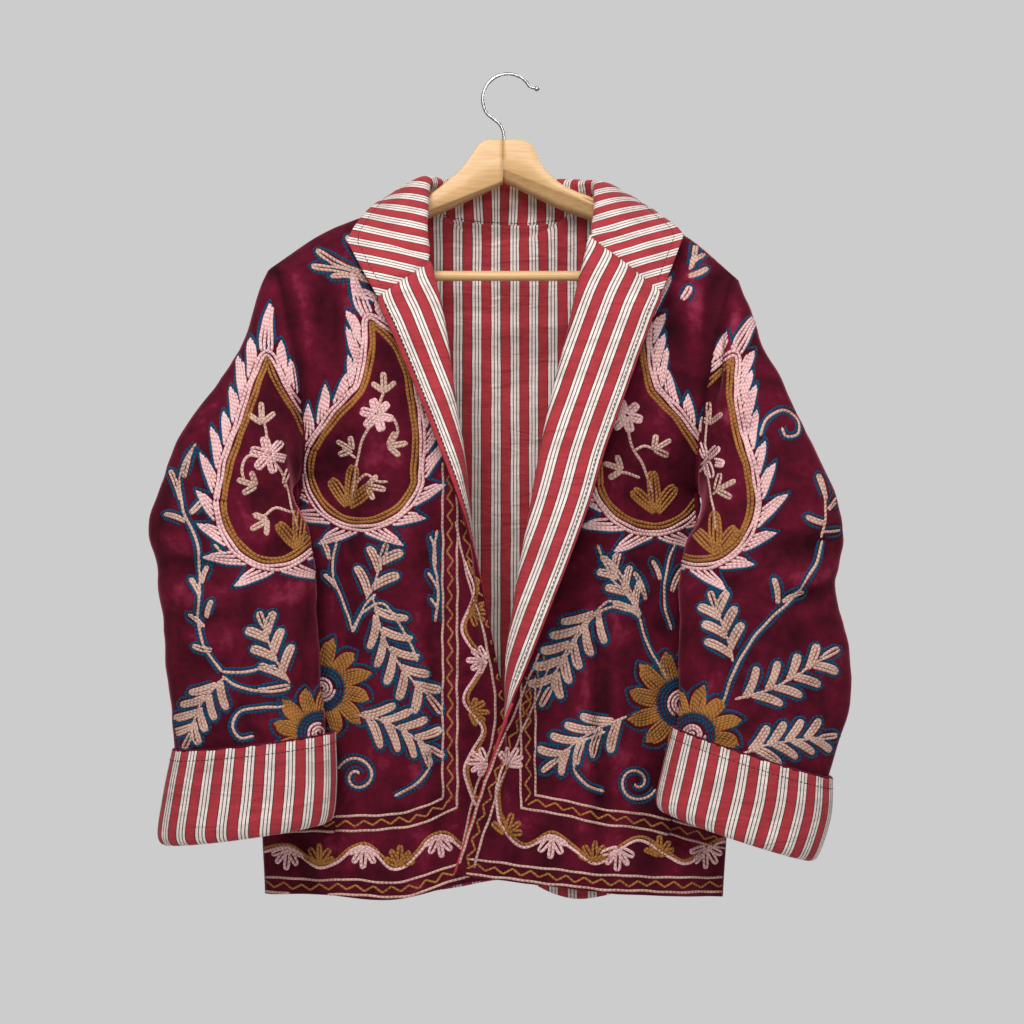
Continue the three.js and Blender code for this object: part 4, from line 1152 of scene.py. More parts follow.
def trims(cloths, velvet, red, dark):
    depth = VELVET + BETWEEN + LINING
    for name in ("sleeve_right", "sleeve_left"):
        c = cloths[name]
        edge = c.p[-1] - c.n[-1] * (depth * 0.42)
        dress(cord(name + "_end_roll", edge, 1.75, closed=True), velvet, slot="velvet")
        points, normals = inside(c, 9.5, False)
        points, normals = np.vstack([points, points[:1]]), np.vstack([normals, normals[:1]])
        dress(topstitch(name + "_end_topstitch", [(points, normals)], depth, dark), dark, slot="lining")
        # the seam allowance under the arm, which closes the gap where sleeve and side meet
        under = (AROUND_K > 5.2) & (AROUND_K < 10.8)
        line = (c.p[0] - c.n[0] * 2.5)[under]
        dress(cord(name + "_underarm_seam", resample(line, 3.0), 5.0), velvet, slot="velvet")
    for name in ("front_right", "front_left"):
        c = cloths[name]
        rows = c.live[:, 0] & (ROWS > 7.0) & (ROWS < 9.3)
        line = (c.p[:, 0] - c.n[:, 0] * 3.0)[rows]
        dress(cord(name + "_underarm_seam", resample(line, 3.0), 4.6), velvet, slot="velvet")
    roll = np.array([(r["x"], r["y"], r["z"]) for r in UNDERARM_ROLL], float)
    dress(cord("sleeve_right_underarm_roll", resample(roll, 2.0), 2.7), velvet, slot="velvet")
    c = cloths["front_left"]
    px = to_px(np.nan_to_num(c.p[:, -1]))
    rows = c.live[:, -1] & (px[:, 1] > 700)
    edge = (c.p[:, -1] - c.n[:, -1] * (depth * 0.45))[rows]
    dress(cord("front_left_edge_roll", resample(edge, 3.0), 1.6), red, slot="lining")
    c = cloths["collar"]
    free, free_n = inside(c, 8, True)
    a, a_n = inside(c, 8, False, last=False)
    b, b_n = inside(c, 8, False)
    keep_a = np.linalg.norm(c.p[0] - c.p[0, -1], axis=1) > 8
    keep_b = np.linalg.norm(c.p[-1] - c.p[-1, -1], axis=1) > 8
    mid = (np.linalg.norm(free - c.p[0, -1], axis=1) > 12) & (np.linalg.norm(free - c.p[-1, -1], axis=1) > 12)
    points = np.vstack([a[keep_a][2:], free[mid], b[keep_b][2:][::-1]])
    normals = np.vstack([a_n[keep_a][2:], free_n[mid], b_n[keep_b][2:][::-1]])
    foot, foot_n = inside(c, 2.0, True, last=False)
    neck = (np.array(COLLAR_T) > 3.2) & (np.array(COLLAR_T) < 10.8)
    dress(topstitch("collar_topstitch", [(points, normals), (foot[neck], foot_n[neck])], depth, dark), dark, slot="lining")
    lines = []
    for name in ("front_right", "front_left"):
        c = cloths[name]
        points, normals = inside(c, 6, True)
        y = to_px(np.nan_to_num(c.p[:, -1]))[:, 1]
        rows = c.live[:, -1] & (ROWS > GORGE + 0.15) & (y < 690)
        lines.append((points[rows], normals[rows]))
    dress(topstitch("lapel_topstitch", lines, depth, dark), dark, slot="lining")


# ---- the hanger ------------------------------------------------------------------------
ARM_HALF = 6


def arm_points(rows, flip):
    """Sections with rounded top edges, finely divided along the arm."""
    coarse = []
    for r in rows:
        y0, y1, top, rd = r["y"] - ARM_HALF, r["y"] + ARM_HALF, r["top"], r["round"]
        ring = [(y0, r["front_low"] + 0.8), (y0, mix(r["front_low"], top, 0.5)), (y0, top - rd)]
        ring += [(y0 + rd * (1 - math.cos(a)), top - rd + rd * math.sin(a)) for a in (0.39, 0.79, 1.18, 1.5708)]
        ring += [(y1 - rd * math.sin(a), top - rd + rd * math.cos(a)) for a in (0.0, 0.39, 0.79, 1.18)]
        ring += [(y1, top - rd), (y1, mix(r["back_low"], top, 0.5)), (y1, r["back_low"] + 0.8)]
        ring += [(y1 - 0.8, r["back_low"] + 0.1), (mix(y0, y1, 0.5), mix(r["front_low"], r["back_low"], 0.5)), (y0 + 0.8, r["front_low"] + 0.1)]
        coarse.append([(r["x"], y, z) for y, z in ring])
    coarse = np.array(coarse, float)
    return np.stack([spline(coarse[:, k], split(list(range(len(rows))), [4] * (len(rows) - 1))) for k in range(coarse.shape[1])], axis=1)


def tube_faces(rows, cols, caps=True):
    i, j = np.meshgrid(np.arange(rows - 1), np.arange(cols), indexing="ij")
    i, j = i.ravel(), j.ravel()
    k = (j + 1) % cols
    return np.stack([i * cols + j, i * cols + k, (i + 1) * cols + k, (i + 1) * cols + j], axis=1)


def loft_object(name, grid, flip=False):
    r, c = grid.shape[:2]
    faces = tube_faces(r, c)
    points = grid.reshape(-1, 3)
    ends = []
    for ring, turn in ((0, True), (r - 1, False)):
        points = np.vstack([points, grid[ring].mean(axis=0)])
        centre = len(points) - 1
        j = np.arange(c)
        a, b = ring * c + j, ring * c + (j + 1) % c
        tri = np.stack([a, b, np.full(c, centre), np.full(c, centre)], axis=1)
        ends.append(tri[:, [1, 0, 2, 3]] if turn else tri)
    verts = [tuple(p * MM) for p in points]
    polys = [list(map(int, f)) for f in faces]
    polys += [[int(v) for v in f[:3]] for e in ends for f in e]
    if flip:
        polys = [f[::-1] for f in polys]
    mesh = bpy.data.meshes.new(name)
    mesh.from_pydata(verts, [], polys)
    mesh.update()
    mesh.shade_smooth()
    o = bpy.data.objects.new(name, mesh)
    bpy.context.scene.collection.objects.link(o)
    return o


WIRE_R, HOOK_R, HOOK_Z = 1.7, 25.8, -24.1
HOOK_FROM, HOOK_TO, HOOK_TIP, TIP_R = 216, 30, (29.6, -13.6), 2.7


def hook_object():
    points = [(p["x"], 0, p["z"]) for p in HOOK_STEM]
    a = HOOK_FROM
    while a >= HOOK_TO:
        points.append((HOOK_R * math.cos(math.radians(a)), 0, HOOK_Z + HOOK_R * math.sin(math.radians(a))))
        a -= 15.5
    points += [(HOOK_TIP[0] - 2, 0, HOOK_TIP[1] + 0.6), (HOOK_TIP[0], 0, HOOK_TIP[1])]
    line = spline(np.array(points, float), np.linspace(0, len(points) - 1, 8 * len(points)))
    # the bead on the tip: the wire's own section swells to a ball
    tangent = unit(np.gradient(line, axis=0))
    side = np.array([0, 1.0, 0])
    up = np.cross(tangent, side)
    angles = np.linspace(0, 2 * math.pi, 20, endpoint=False)
    run = np.concatenate([[0], np.cumsum(np.linalg.norm(np.diff(line, axis=0), axis=1))])
    rings = [line[n] + WIRE_R * (np.cos(angles)[:, None] * side + np.sin(angles)[:, None] * up[n]) for n in range(len(line)) if run[-1] - run[n] > 2.1]
    end, t, u = line[-1], tangent[-1], up[-1]
    for k in range(1, 12):
        b = math.pi * (0.217 + 0.78 * k / 11)
        rings.append(end - t * TIP_R * math.cos(b) + TIP_R * math.sin(b) * (np.cos(angles)[:, None] * side + np.sin(angles)[:, None] * u))
    return loft_object("hook_wire", np.array(rings))


# ---- stage, light and camera -------------------------------------------------------------
def stage():
    mesh = bpy.data.meshes.new("floor")
    ring = [(2.0 * math.cos(k * math.pi / 32), 2.0 * math.sin(k * math.pi / 32), -1.66) for k in range(64)]
    mesh.from_pydata(ring, [], [list(range(64))])
    floor = bpy.data.objects.new("floor", mesh)
    bpy.context.scene.collection.objects.link(floor)
    floor.data.materials.append(plain_material("floor_paint", srgb(236, 236, 236), 0.9))
    world = bpy.data.worlds.new("studio")
    bpy.context.scene.world = world
    world.use_nodes = True
    world.node_tree.nodes["Background"].inputs["Color"].default_value = srgb(204, 204, 204)
    world.node_tree.nodes["Background"].inputs["Strength"].default_value = 1.0
    # the studio's walls are pale where they are seen and light the object more softly
    path = world.node_tree.nodes.new("ShaderNodeLightPath")
    level = world.node_tree.nodes.new("ShaderNodeMapRange")
    level.inputs["To Min"].default_value = 0.50
    world.node_tree.links.new(path.outputs["Is Camera Ray"], level.inputs["Value"])
    world.node_tree.links.new(level.outputs["Result"], world.node_tree.nodes["Background"].inputs["Strength"])


LIGHTS = table("""
  name   x     y     z     aim_x aim_y aim_z  size  power
  key   -0.45 -1.45  0.82   0     0    -0.34  0.6   22
  top    0.5  -0.9   1.20   0     0    -0.36  0.8    6
  front  0.12 -1.9   0.25   0     0    -0.48  0.5   10
  fill   1.9  -1.8  -0.20   0     0    -0.45  1.6    4
  rear   0.3   2.2   0.60   0     0    -0.45  1.6   34
""")


def lights_and_camera():
    for r in LIGHTS:
        data = bpy.data.lights.new(r["name"], "AREA")
        data.shape, data.size, data.energy = "DISK", r["size"], r["power"]
        o = bpy.data.objects.new(r["name"], data)
        o.location = (r["x"], r["y"], r["z"])
        aim = Vector((r["aim_x"], r["aim_y"], r["aim_z"])) - o.location
        o.rotation_mode = "QUATERNION"
        o.rotation_quaternion = aim.to_track_quat("-Z", "Y")
        bpy.context.scene.collection.objects.link(o)
    data = bpy.data.cameras.new("camera")
    data.sensor_width, data.lens = 36, 36 * CAM_D / (1024 * PX)
    data.clip_start, data.clip_end = 0.05, 20
    cam = bpy.data.objects.new("camera", data)
    cam.location = (CAM_X * MM, -CAM_D * MM, CAM_Z * MM)
    cam.rotation_euler = (math.pi / 2, 0, 0)
    bpy.context.scene.collection.objects.link(cam)
    bpy.context.scene.camera = cam
    bpy.context.scene.view_settings.view_transform = "Standard"


# ---- embroidery: rows of chain stitch laid on the velvet ---------------------------------
STITCH = 4.4            # length of one stitch
ROW = 3.5               # between neighbouring rows, px
# each thread: its colour, the dark end of its ramp (partly its own tone, partly painted shade), its row's width and its
# height
THREADS = {
    "teal": (srgb(0, 66, 98), srgb(0, 30, 52), 3.3, 0.95),
    "pink": (srgb(236, 192, 190), srgb(180, 128, 130), 3.6, 1.30),
    "beige": (srgb(212, 175, 159), srgb(146, 108, 96), 3.5, 1.25),
    "gold": (srgb(168, 112, 54), srgb(108, 66, 26), 3.5, 1.30),
}


def resample(line, step):
    line = np.asarray(line, float)
    run = np.concatenate([[0], np.cumsum(np.linalg.norm(np.diff(line, axis=0), axis=1))])
    n = max(2, int(round(run[-1] / step)) + 1)
    s = np.linspace(0, run[-1], n)
    return np.stack([np.interp(s, run, line[:, k]) for k in range(line.shape[1])], axis=1)


def curve(points, closed=False, step=1.2):
    p = np.asarray(points, float)
    if closed:
        n = len(p)
        p = np.vstack([p[-1:], p, p[:2]])
        line = spline(p, np.linspace(1, n + 1, 12 * n))
    elif len(p) > 2:
        line = spline(p, np.linspace(0, len(p) - 1, 12 * len(p)))
    else:
        line = p
    return resample(line, step)


def turned(line, closed=False):
    """Unit vectors to the left of a line's run."""
    if closed:
        t = np.roll(line, -1, axis=0) - np.roll(line, 1, axis=0)
    else:
        t = np.gradient(line, axis=0)
    t = unit(t)
    return np.stack([-t[:, 1], t[:, 0]], axis=1)


class Art:
    """Rows of stitches drawn in the picture's frame for one side of one piece."""

    def __init__(self, cloth, side, flip=None):
        self.cloth, self.side, self.flip, self.rows = cloth, side, flip, []

    def row(self, thread, line, lift=0.0, width=None):
        line = np.asarray(line, float)
        if len(line) < 3:
            line = resample(line, 1.2)
        if len(line) > 6:        # a hand-guided row never runs quite true
            k = len(self.rows)
            run = np.arange(len(line)) * 0.12
            sway = 0.38 * np.sin(run + 1.7 * k) + 0.25 * np.sin(2.3 * run + 0.9 * k)
            line = line + turned(line) * sway[:, None]
        self.rows.append((thread, line, lift, width))

    def chain(self, thread, points, closed=False, lift=0.0):
        self.row(thread, curve(points, closed), lift)

    def leaf(self, base, tip, wide, fill, rim="teal", bend=0.0):
        b, t = np.array(base, float), np.array(tip, float)
        d = t - b
        size = np.linalg.norm(d)
        if size < 3:
            return
        side = np.array([-d[1], d[0]]) / size
        s = np.linspace(0, 1, max(9, int(size / 1.6)))
        centre = b + d * s[:, None] + side * (bend * size * 4 * s * (1 - s))[:, None]
        swell = 0.60 + 0.40 * np.sin(0.5 * math.pi * np.clip(s / 0.5, 0, 1))
        cap = np.sqrt(np.clip(1 - (np.clip(s - 0.74, 0, 1) / 0.265) ** 2, 0.0, 1))
        half = wide / 2 * swell * cap
        n = max(1, int(round(wide / ROW)))
        for k in range(n):
            share = (k - (n - 1) / 2) / max(1.0, n / 2)
            self.row(fill, centre + side * (half * share)[:, None], 0.15)
        if rim:
            reach = half + ROW * 0.72
            left = centre + side * reach[:, None]
            right = centre - side * reach[:, None]
            nose = centre[-1] + d / size * ROW * 0.9
            keep = (s > 0.10) & (s < 0.97)
            self.row(rim, resample(np.vstack([left[keep], nose, right[keep][::-1]]), 1.2))

    def fan(self, base, angle, length, spread, n, wide, fill, rim=None, inner=0.0):
        """Leaves opening from a point; angle in degrees, 0 to the right, 90 down."""
        for k in range(n):
            share = 0 if n == 1 else (k - (n - 1) / 2) / ((n - 1) / 2)
            a = math.radians(angle + spread * share)
            reach = length * (1 - 0.22 * abs(share))
            u = np.array([math.cos(a), math.sin(a)])
            self.leaf(np.array(base) + u * inner, np.array(base) + u * reach, wide, fill, rim)

    def flower(self, centre, r, fill="pink"):
        for k in range(6):
            a = math.radians(60 * k + 14)
            u = np.array([math.cos(a), math.sin(a)])
            self.leaf(np.array(centre) + u * 2, np.array(centre) + u * r, r * 0.56, fill, None)
        self.disc(centre, 3.2, fill)

    def disc(self, centre, r, fill):
        a = np.linspace(0, 2 * math.pi * max(1.0, r / ROW), max(10, int(7 * r)))
        radius = r * (1 - a / a[-1])
        self.row(fill, np.array(centre) + np.stack([radius * np.cos(a), radius * np.sin(a)], axis=1), 0.1)

    def ring(self, centre, r, fill):
        a = np.linspace(0, 2 * math.pi, max(16, int(5 * r)))
        self.row(fill, np.array(centre) + r * np.stack([np.cos(a), np.sin(a)], axis=1))

    def sunflower(self, centre, r, n=12):
        """Pointed petals round a dark ring."""
        c = np.array(centre, float)
        root, shoulder = r * 0.42, r * 0.72
        contour = []
        for k in range(n):
            a0 = 2 * math.pi * (k + 0.25) / n
            wide = math.pi / n
            reach = r * (1.0 if k % 2 else 0.92)
            spot = lambda a, d: c + d * np.array([math.cos(a), math.sin(a)])
            tip_at = spot(a0 + 0.10, reach)
            for q in (-0.86, -0.52, -0.17, 0.17, 0.52, 0.86):
                w = np.linspace(0, 1, 16)[:, None]
                foot, knee = spot(a0 + wide * q, root), spot(a0 + wide * q * 0.98, shoulder)
                end = tip_at + (knee - tip_at) * (0.06 + 0.42 * abs(q))
                self.row("gold", resample(foot * (1 - w) ** 2 + 2 * knee * w * (1 - w) + end * w * w, 1.2), 0.1)
            w = np.linspace(0, 1, 12)[:, None]
            v0, v1 = spot(a0 - wide, r * 0.70), spot(a0 + wide, r * 0.70)
            nose = spot(a0 + 0.10, reach + 2.5)
            k0, k1 = spot(a0 - wide * 0.95, r * 0.92), spot(a0 + wide * 0.75, r * 0.86)
            contour.append(v0 * (1 - w) ** 2 + 2 * k0 * w * (1 - w) + nose * w * w)
            contour.append((nose * (1 - w) ** 2 + 2 * k1 * w * (1 - w) + v1 * w * w)[1:])
        line = np.vstack(contour)
        self.row("teal", resample(np.vstack([line, line[:1]]), 1.2))
        for d in (0.0, 1.0, 2.0):
            self.ring(centre, r * 0.40 - d * 3.3, "teal")
        self.disc(centre, r * 0.40 - 9.0, "pink")

    def stem(self, points, fill="beige", rim="teal"):
        line = curve(points)
        self.row(fill, line, 0.1)
        if rim:
            side = turned(line)
            self.row(rim, line + side * ROW * 0.92)
            self.row(rim, line - side * ROW * 0.92)

    def sprig(self, points):
        self.row("beige", curve(points), 0.1)

    def spiral(self, centre, r, start, turns, sense=1, tail=None, fill="beige"):
        a = np.linspace(0, 2 * math.pi * turns, int(26 * turns) + 8)
        radius = r * (1 - 0.86 * a / a[-1])
        angle = math.radians(start) + sense * a
        line = np.array(centre) + np.stack([radius * np.cos(angle), radius * np.sin(angle)], axis=1)
        if tail is not None:
            line = np.vstack([np.asarray(tail, float), line[2:]])
        self.stem(line[::2], fill)

    def paisley(self, axis, half, foot, flames, flame_len, fill="pink"):
        """A drop with a bent point: axis through four places, half widths at them, and the
        depth of its round foot; rows of gold, a band, then leaning flames."""
        s = np.linspace(0, 3, 60)
        line = spline(np.array(axis, float), s)
        w = np.interp(s, [0, 0.5, 1, 2, 3], [half[0], half[0] * 0.45 + half[1] * 0.55 + 4, half[1], half[2], 0])
        side = turned(line)
        down = unit(line[0] - line[3])
        a = np.linspace(0, math.pi, 26)[1:-1]
        cross = side[0]
        foot_arc = line[0] + cross * (half[0] * np.cos(a))[:, None] + down * (foot * np.sin(a))[:, None]
        outline = np.vstack([(line - side * w[:, None]), (line + side * w[:, None])[::-1][1:], foot_arc])
        outline = resample(np.vstack([outline, outline[:1]]), 2.0)[:-1]
        centre = outline.mean(axis=0)
        n = turned(outline, True)
        # smooth the outward vectors, so offsets don't cross at the point
        for _ in range(4):
            n = unit(np.roll(n, 1, axis=0) + n * 2 + np.roll(n, -1, axis=0))
        out = n if np.sum((outline - centre) * n) > 0 else -n
        loop = lambda d: np.vstack([outline + out * d, (outline + out * d)[:1]])
        self.row("gold", resample(loop(0), 1.2), 0.1)
        self.row("gold", resample(loop(-ROW), 1.2), 0.1)
        for d in (4.2, 4.2 + ROW):
            self.row(fill, resample(loop(d), 1.2), 0.1)
        tip = np.array(axis[3], float)
        top = int(np.argmin(np.linalg.norm(outline - tip, axis=1)))
        count = len(outline)
        order = np.roll(np.arange(count), -top)
        half_count = count // 2
        for way, line_ids in ((1, order[:half_count]), (-1, order[::-1][:half_count])):
            ids = line_ids[::-1]                       # from the foot up to the point
            base, o_n = outline[ids], out[ids]
            t = unit(np.gradient(base, axis=0))
            m = flames // 2
            at_share = lambda q, arr: np.stack([np.interp(q * (len(base) - 1), np.arange(len(base)), arr[:, k]) for k in range(2)], axis=-1)
            contour = []
            for j in range(m):
                s0, s1 = j / m, (j + 1) / m
                mid = (j + 0.5) / m
                up = 0.30 + 0.70 * mid
                grow = 0.78 + 0.36 * math.sin(2.3 * j + way) ** 2
                aim = unit(unit(at_share(mid, o_n)) * (1.0 - 0.34 * up) + unit(at_share(mid, t)) * (0.62 + 0.62 * up))
                point = at_share(mid, base) + unit(at_share(mid, o_n)) * 8.0 + aim * flame_len * grow
                for q in range(4):
                    s = s0 + (s1 - s0) * (0.04 + 0.22 * q)
                    foot = at_share(s, base) + unit(at_share(s, o_n)) * (4.2 + 1.6 * ROW)
                    knee = foot * 0.45 + point * 0.55 + unit(at_share(mid, o_n)) * (3.4 - 2.2 * q)
                    end = point - aim * (0.5 + 3.2 * abs(q - 1.2)) + unit(at_share(mid, o_n)) * (2.0 - 1.4 * q)
                    w = np.linspace(0, 1, 16)[:, None]
                    self.row(fill, resample(foot * (1 - w) ** 2 + 2 * knee * w * (1 - w) + end * w * w, 1.2), 0.1)
                near0 = at_share(s0, base) + unit(at_share(s0, o_n)) * (4.2 + 2.2 * ROW)
                near1 = at_share(s1, base) + unit(at_share(s1, o_n)) * (4.2 + 2.2 * ROW)
                w = np.linspace(0, 1, 14)[:, None]
                side_out = unit(at_share(mid, o_n))
                outer = near0 * 0.4 + point * 0.6 + side_out * 6.5
                inner = near1 * 0.55 + point * 0.45 - side_out * 2.0
                nose = point + aim * 3.2
                contour.append(near0 * (1 - w) ** 2 + 2 * outer * w * (1 - w) + nose * w * w)
                contour.append((nose * (1 - w) ** 2 + 2 * inner * w * (1 - w) + near1 * w * w)[1:])
            self.row("teal", resample(np.vstack(contour), 1.2))
        # the tall flame over the point
        ax = unit(np.array(axis[3], float) - np.array(axis[2], float))
        cross = np.array([-ax[1], ax[0]])
        tall = tip + ax * (flame_len * 1.75) + cross * 5
        for q in (-1.5, -0.5, 0.5, 1.5):
            w = np.linspace(0, 1, 18)[:, None]
            foot, end = tip + ax * 7 + cross * q * 3.4, tall - ax * abs(q) * 3 + cross * q * 1.1
            knee = (foot + end) / 2 + cross * q * 2.2 - cross * 3
            self.row(fill, resample(foot * (1 - w) ** 2 + 2 * knee * w * (1 - w) + end * w * w, 1.2), 0.15)
        w = np.linspace(0, 1, 18)[:, None]
        for q in (-1, 1):
            foot, end = tip + ax * 14 + cross * q * 8.5, tall + ax * 3
            knee = (foot + end) / 2 + cross * q * 5.0 - cross * 3
            self.row("teal", resample(foot * (1 - w) ** 2 + 2 * knee * w * (1 - w) + end * w * w, 1.2))

    def palmette(self, base, angle, size, fill):
        self.fan(base, angle, size, 66, 5, size * 0.36, fill)

    def zigzag(self, line, pitch=9.0, amp=2.9, thread="gold"):
        side = turned(line)
        run = np.arange(len(line)) * 1.2
        wave = np.abs((run / pitch) % 2 - 1) * 2 - 1
        self.row(thread, line + side * (amp * wave)[:, None], width=2.6)

    def border(self, points, gap=14.5):
        """Two chain rows with a zigzag between them; corners stay square."""
        p = np.array(points, float)
        d = unit(np.diff(p, axis=0))
        n = np.stack([-d[:, 1], d[:, 0]], axis=1)
        first, last = np.vstack([n[:1], n]), np.vstack([n, n[-1:]])
        mitre = (first + last) / (1 + np.sum(first * last, axis=1))[:, None]
        corner = [k for k in range(1, len(p) - 1) if np.dot(d[k - 1], d[k]) < 0.6]
        stops = [0] + corner + [len(p) - 1]

        def along(shift):
            q = p + mitre * shift
            return [curve(q[a:b + 1]) for a, b in zip(stops, stops[1:])]

        for shift in (gap / 2, -gap / 2):
            self.row("beige", np.vstack(along(shift)), width=2.9)
        for part in along(0):
            self.zigzag(part)

    def vine(self, points):
        line = curve(points)
        side = turned(line)
        self.row("pink", line + side * ROW * 0.5, 0.1)
        self.row("gold", line - side * ROW * 0.5)

    def bud(self, base, tip, fill="beige"):
        """A small three-leaved bud."""
        b, t = np.array(base, float), np.array(tip, float)
        d = t - b
        angle = math.degrees(math.atan2(d[1], d[0]))
        size = np.linalg.norm(d)
        self.fan(b, angle, size, 52, 3, 6.6, fill)


class Ground:
    """The velvet face that a side of a piece shows, to set stitches on."""

    def __init__(self, cloth, side):
        i, j, j2 = cloth.quads()
        self.back = -1.0 if side == "back" else 1.0
        self.eye = np.array([CAM_X, -CAM_D * self.back, CAM_Z])
        p = cloth.p
        corner = [p[i, j], p[i + 1, j], p[i + 1, j2], p[i, j2]]
        middle = sum(corner) / 4
        n = unit(cloth.n[i, j] + cloth.n[i + 1, j] + cloth.n[i + 1, j2] + cloth.n[i, j2])
        slope = np.sum(n * unit(middle - self.eye), axis=1)
        facing = slope < (-0.30 if side == "back" else -0.04)
        if cloth.name.startswith("sleeve"):
            facing &= RINGS[i] < 9.9          # not the turned-back end
        i, j, j2, self.n = i[facing], j[facing], j2[facing], n[facing]
        number = np.arange(p.shape[0] * p.shape[1]).reshape(p.shape[:2])
        quads = np.stack([number[i, j], number[i + 1, j], number[i + 1, j2], number[i, j2]], axis=1)
        self.vn = cloth.n.reshape(-1, 3)
        self.vp = np.nan_to_num(p).reshape(-1, 3)
        self.quads = quads
        self.tree = BVHTree.FromPolygons([tuple(v) for v in self.vp], [tuple(map(int, q)) for q in quads])

    def place(self, line):
        """Where each point of a line in the picture's frame falls, with the cloth's normal."""
        target = np.stack([CAM_X + (line[:, 0] - 512) * PX, np.zeros(len(line)), CAM_Z + (512 - line[:, 1]) * PX], axis=1)
        out, normals, ok = np.zeros((len(line), 3)), np.zeros((len(line), 3)), np.zeros(len(line), bool)
        eye = Vector(self.eye)
        for k, q in enumerate(target):
            hit, _, face, _ = self.tree.ray_cast(eye, Vector(q - self.eye))
            if hit is None:
                continue
            h = np.array(hit)
            ids = self.quads[face]
            w = 1 / (np.linalg.norm(self.vp[ids] - h, axis=1) + 0.3)
            out[k], normals[k], ok[k] = h, unit((self.vn[ids] * w[:, None]).sum(axis=0)), True
        return out, normals, ok


def ribbon(points, normals, width, height, seed, per=2.25):
    """One row of chain stitch: a low ridge that swells with each stitch."""
    run = np.concatenate([[0], np.cumsum(np.linalg.norm(np.diff(points, axis=0), axis=1))])
    if run[-1] < 3:
        return None
    n = max(3, int(round(run[-1] / (STITCH / per))) + 1)
    s = np.linspace(0, run[-1], n)
    p = np.stack([np.interp(s, run, points[:, k]) for k in range(3)], axis=1)
    nn = unit(np.stack([np.interp(s, run, normals[:, k]) for k in range(3)], axis=1))
    t = unit(np.gradient(p, axis=0))
    side = unit(np.cross(t, nn))
    phase = np.abs(np.sin(math.pi * (s / STITCH + seed)))
    ends = np.clip(np.minimum(s, run[-1] - s) / 1.6, 0.35, 1)
    w = (width / 2 * (0.80 + 0.20 * phase) * ends)[:, None]
    h = (height * (0.62 + 0.38 * phase) * ends)[:, None]
    verts = np.concatenate([p - side * w - nn * 0.25, p - side * w * 0.45 + nn * h * 0.9, p + side * w * 0.45 + nn * h * 0.9, p + side * w - nn * 0.25])
    a = np.arange(n - 1)
    faces = np.concatenate([np.stack([a + k * n, a + 1 + k * n, a + 1 + (k + 1) * n, a + (k + 1) * n], axis=1) for k in range(3)])
    us = np.tile(s / STITCH + seed, 4)
    vs = np.repeat([0.0, 0.275, 0.725, 1.0], n)
    return verts, faces, us, vs


def sew(arts, cloths, materials):
    sheets, grounds = {}, {}
    for art in arts:
        key = (art.cloth, art.side)
        if key not in grounds:
            grounds[key] = Ground(cloths[art.cloth], art.side)
        ground = grounds[key]
        for number, (thread, line, lift, width) in enumerate(art.rows):
            pts, nrm, ok = ground.place(line)
            color, deep_and_shade, wide, high = THREADS[thread]
            start = 0
            while start < len(ok):
                if not ok[start]:
                    start += 1
                    continue
                end = start + 1
                while end < len(ok) and ok[end] and np.linalg.norm(pts[end] - pts[end - 1]) < 4.5:
                    end += 1
                if end - start > 3:
                    made = ribbon(pts[start:end], nrm[start:end], width or wide, high + lift, 0.37 * number, 1.35 if art.cloth == "back" else 2.25)
                    if made:
                        sheets.setdefault((art.cloth, thread), []).append(made)
                start = end
    total = 0
    for (cloth, thread), parts in sorted(sheets.items()):
        verts, faces, us, vs, base = [], [], [], [], 0
        for v, f, u, w in parts:
            verts.append(v)
            faces.append(f + base)
            us.append(u)
            vs.append(w)
            base += len(v)
        verts, faces, us, vs = np.concatenate(verts), np.concatenate(faces), np.concatenate(us), np.concatenate(vs)
        o = mesh_object(f"{cloth}_{thread}_stitches", verts, faces[:, ::-1], us[faces[:, ::-1]], vs[faces[:, ::-1]])
        dress(o, materials[thread], slot="velvet")
        total += 2 * len(faces)
        print("stitches", cloth, thread, 2 * len(faces), "triangles")
    print("stitches in all", total)


# Paisleys: four places along the axis from the round foot to the point, half widths at the
# first three, the depth of the foot, the count of flames and their length.
PAISLEYS = table("""
  piece        side  x0   y0   x1   y1   x2   y2   x3   y3   w0  w1  w2  foot flames length
  front_right  front 364  466  386  394  383  348  370  321  54  26  14   57   20    31
  front_left   front 650  470  627  394  631  348  644  321  54  26  14   58   20    31
  sleeve_right front 273  500  272  430  268  390  267  358  51  32  14   62   20    32
  sleeve_left  front 702  498  708  430  718  390  733  358  51  30  14   63   20    32
  sleeve_right back  268  500  268  430  270  390  275  358  49  31  14   60   20    31
  sleeve_left  back  712  498  714  430  714  390  708  358  49  31  14   60   20    31
  back         back  380  440  398  372  392  328  376  300  56  27  14   60   22    31
  back         back  640  440  622  372  628  328  644  300  56  27  14   60   22    31
""")

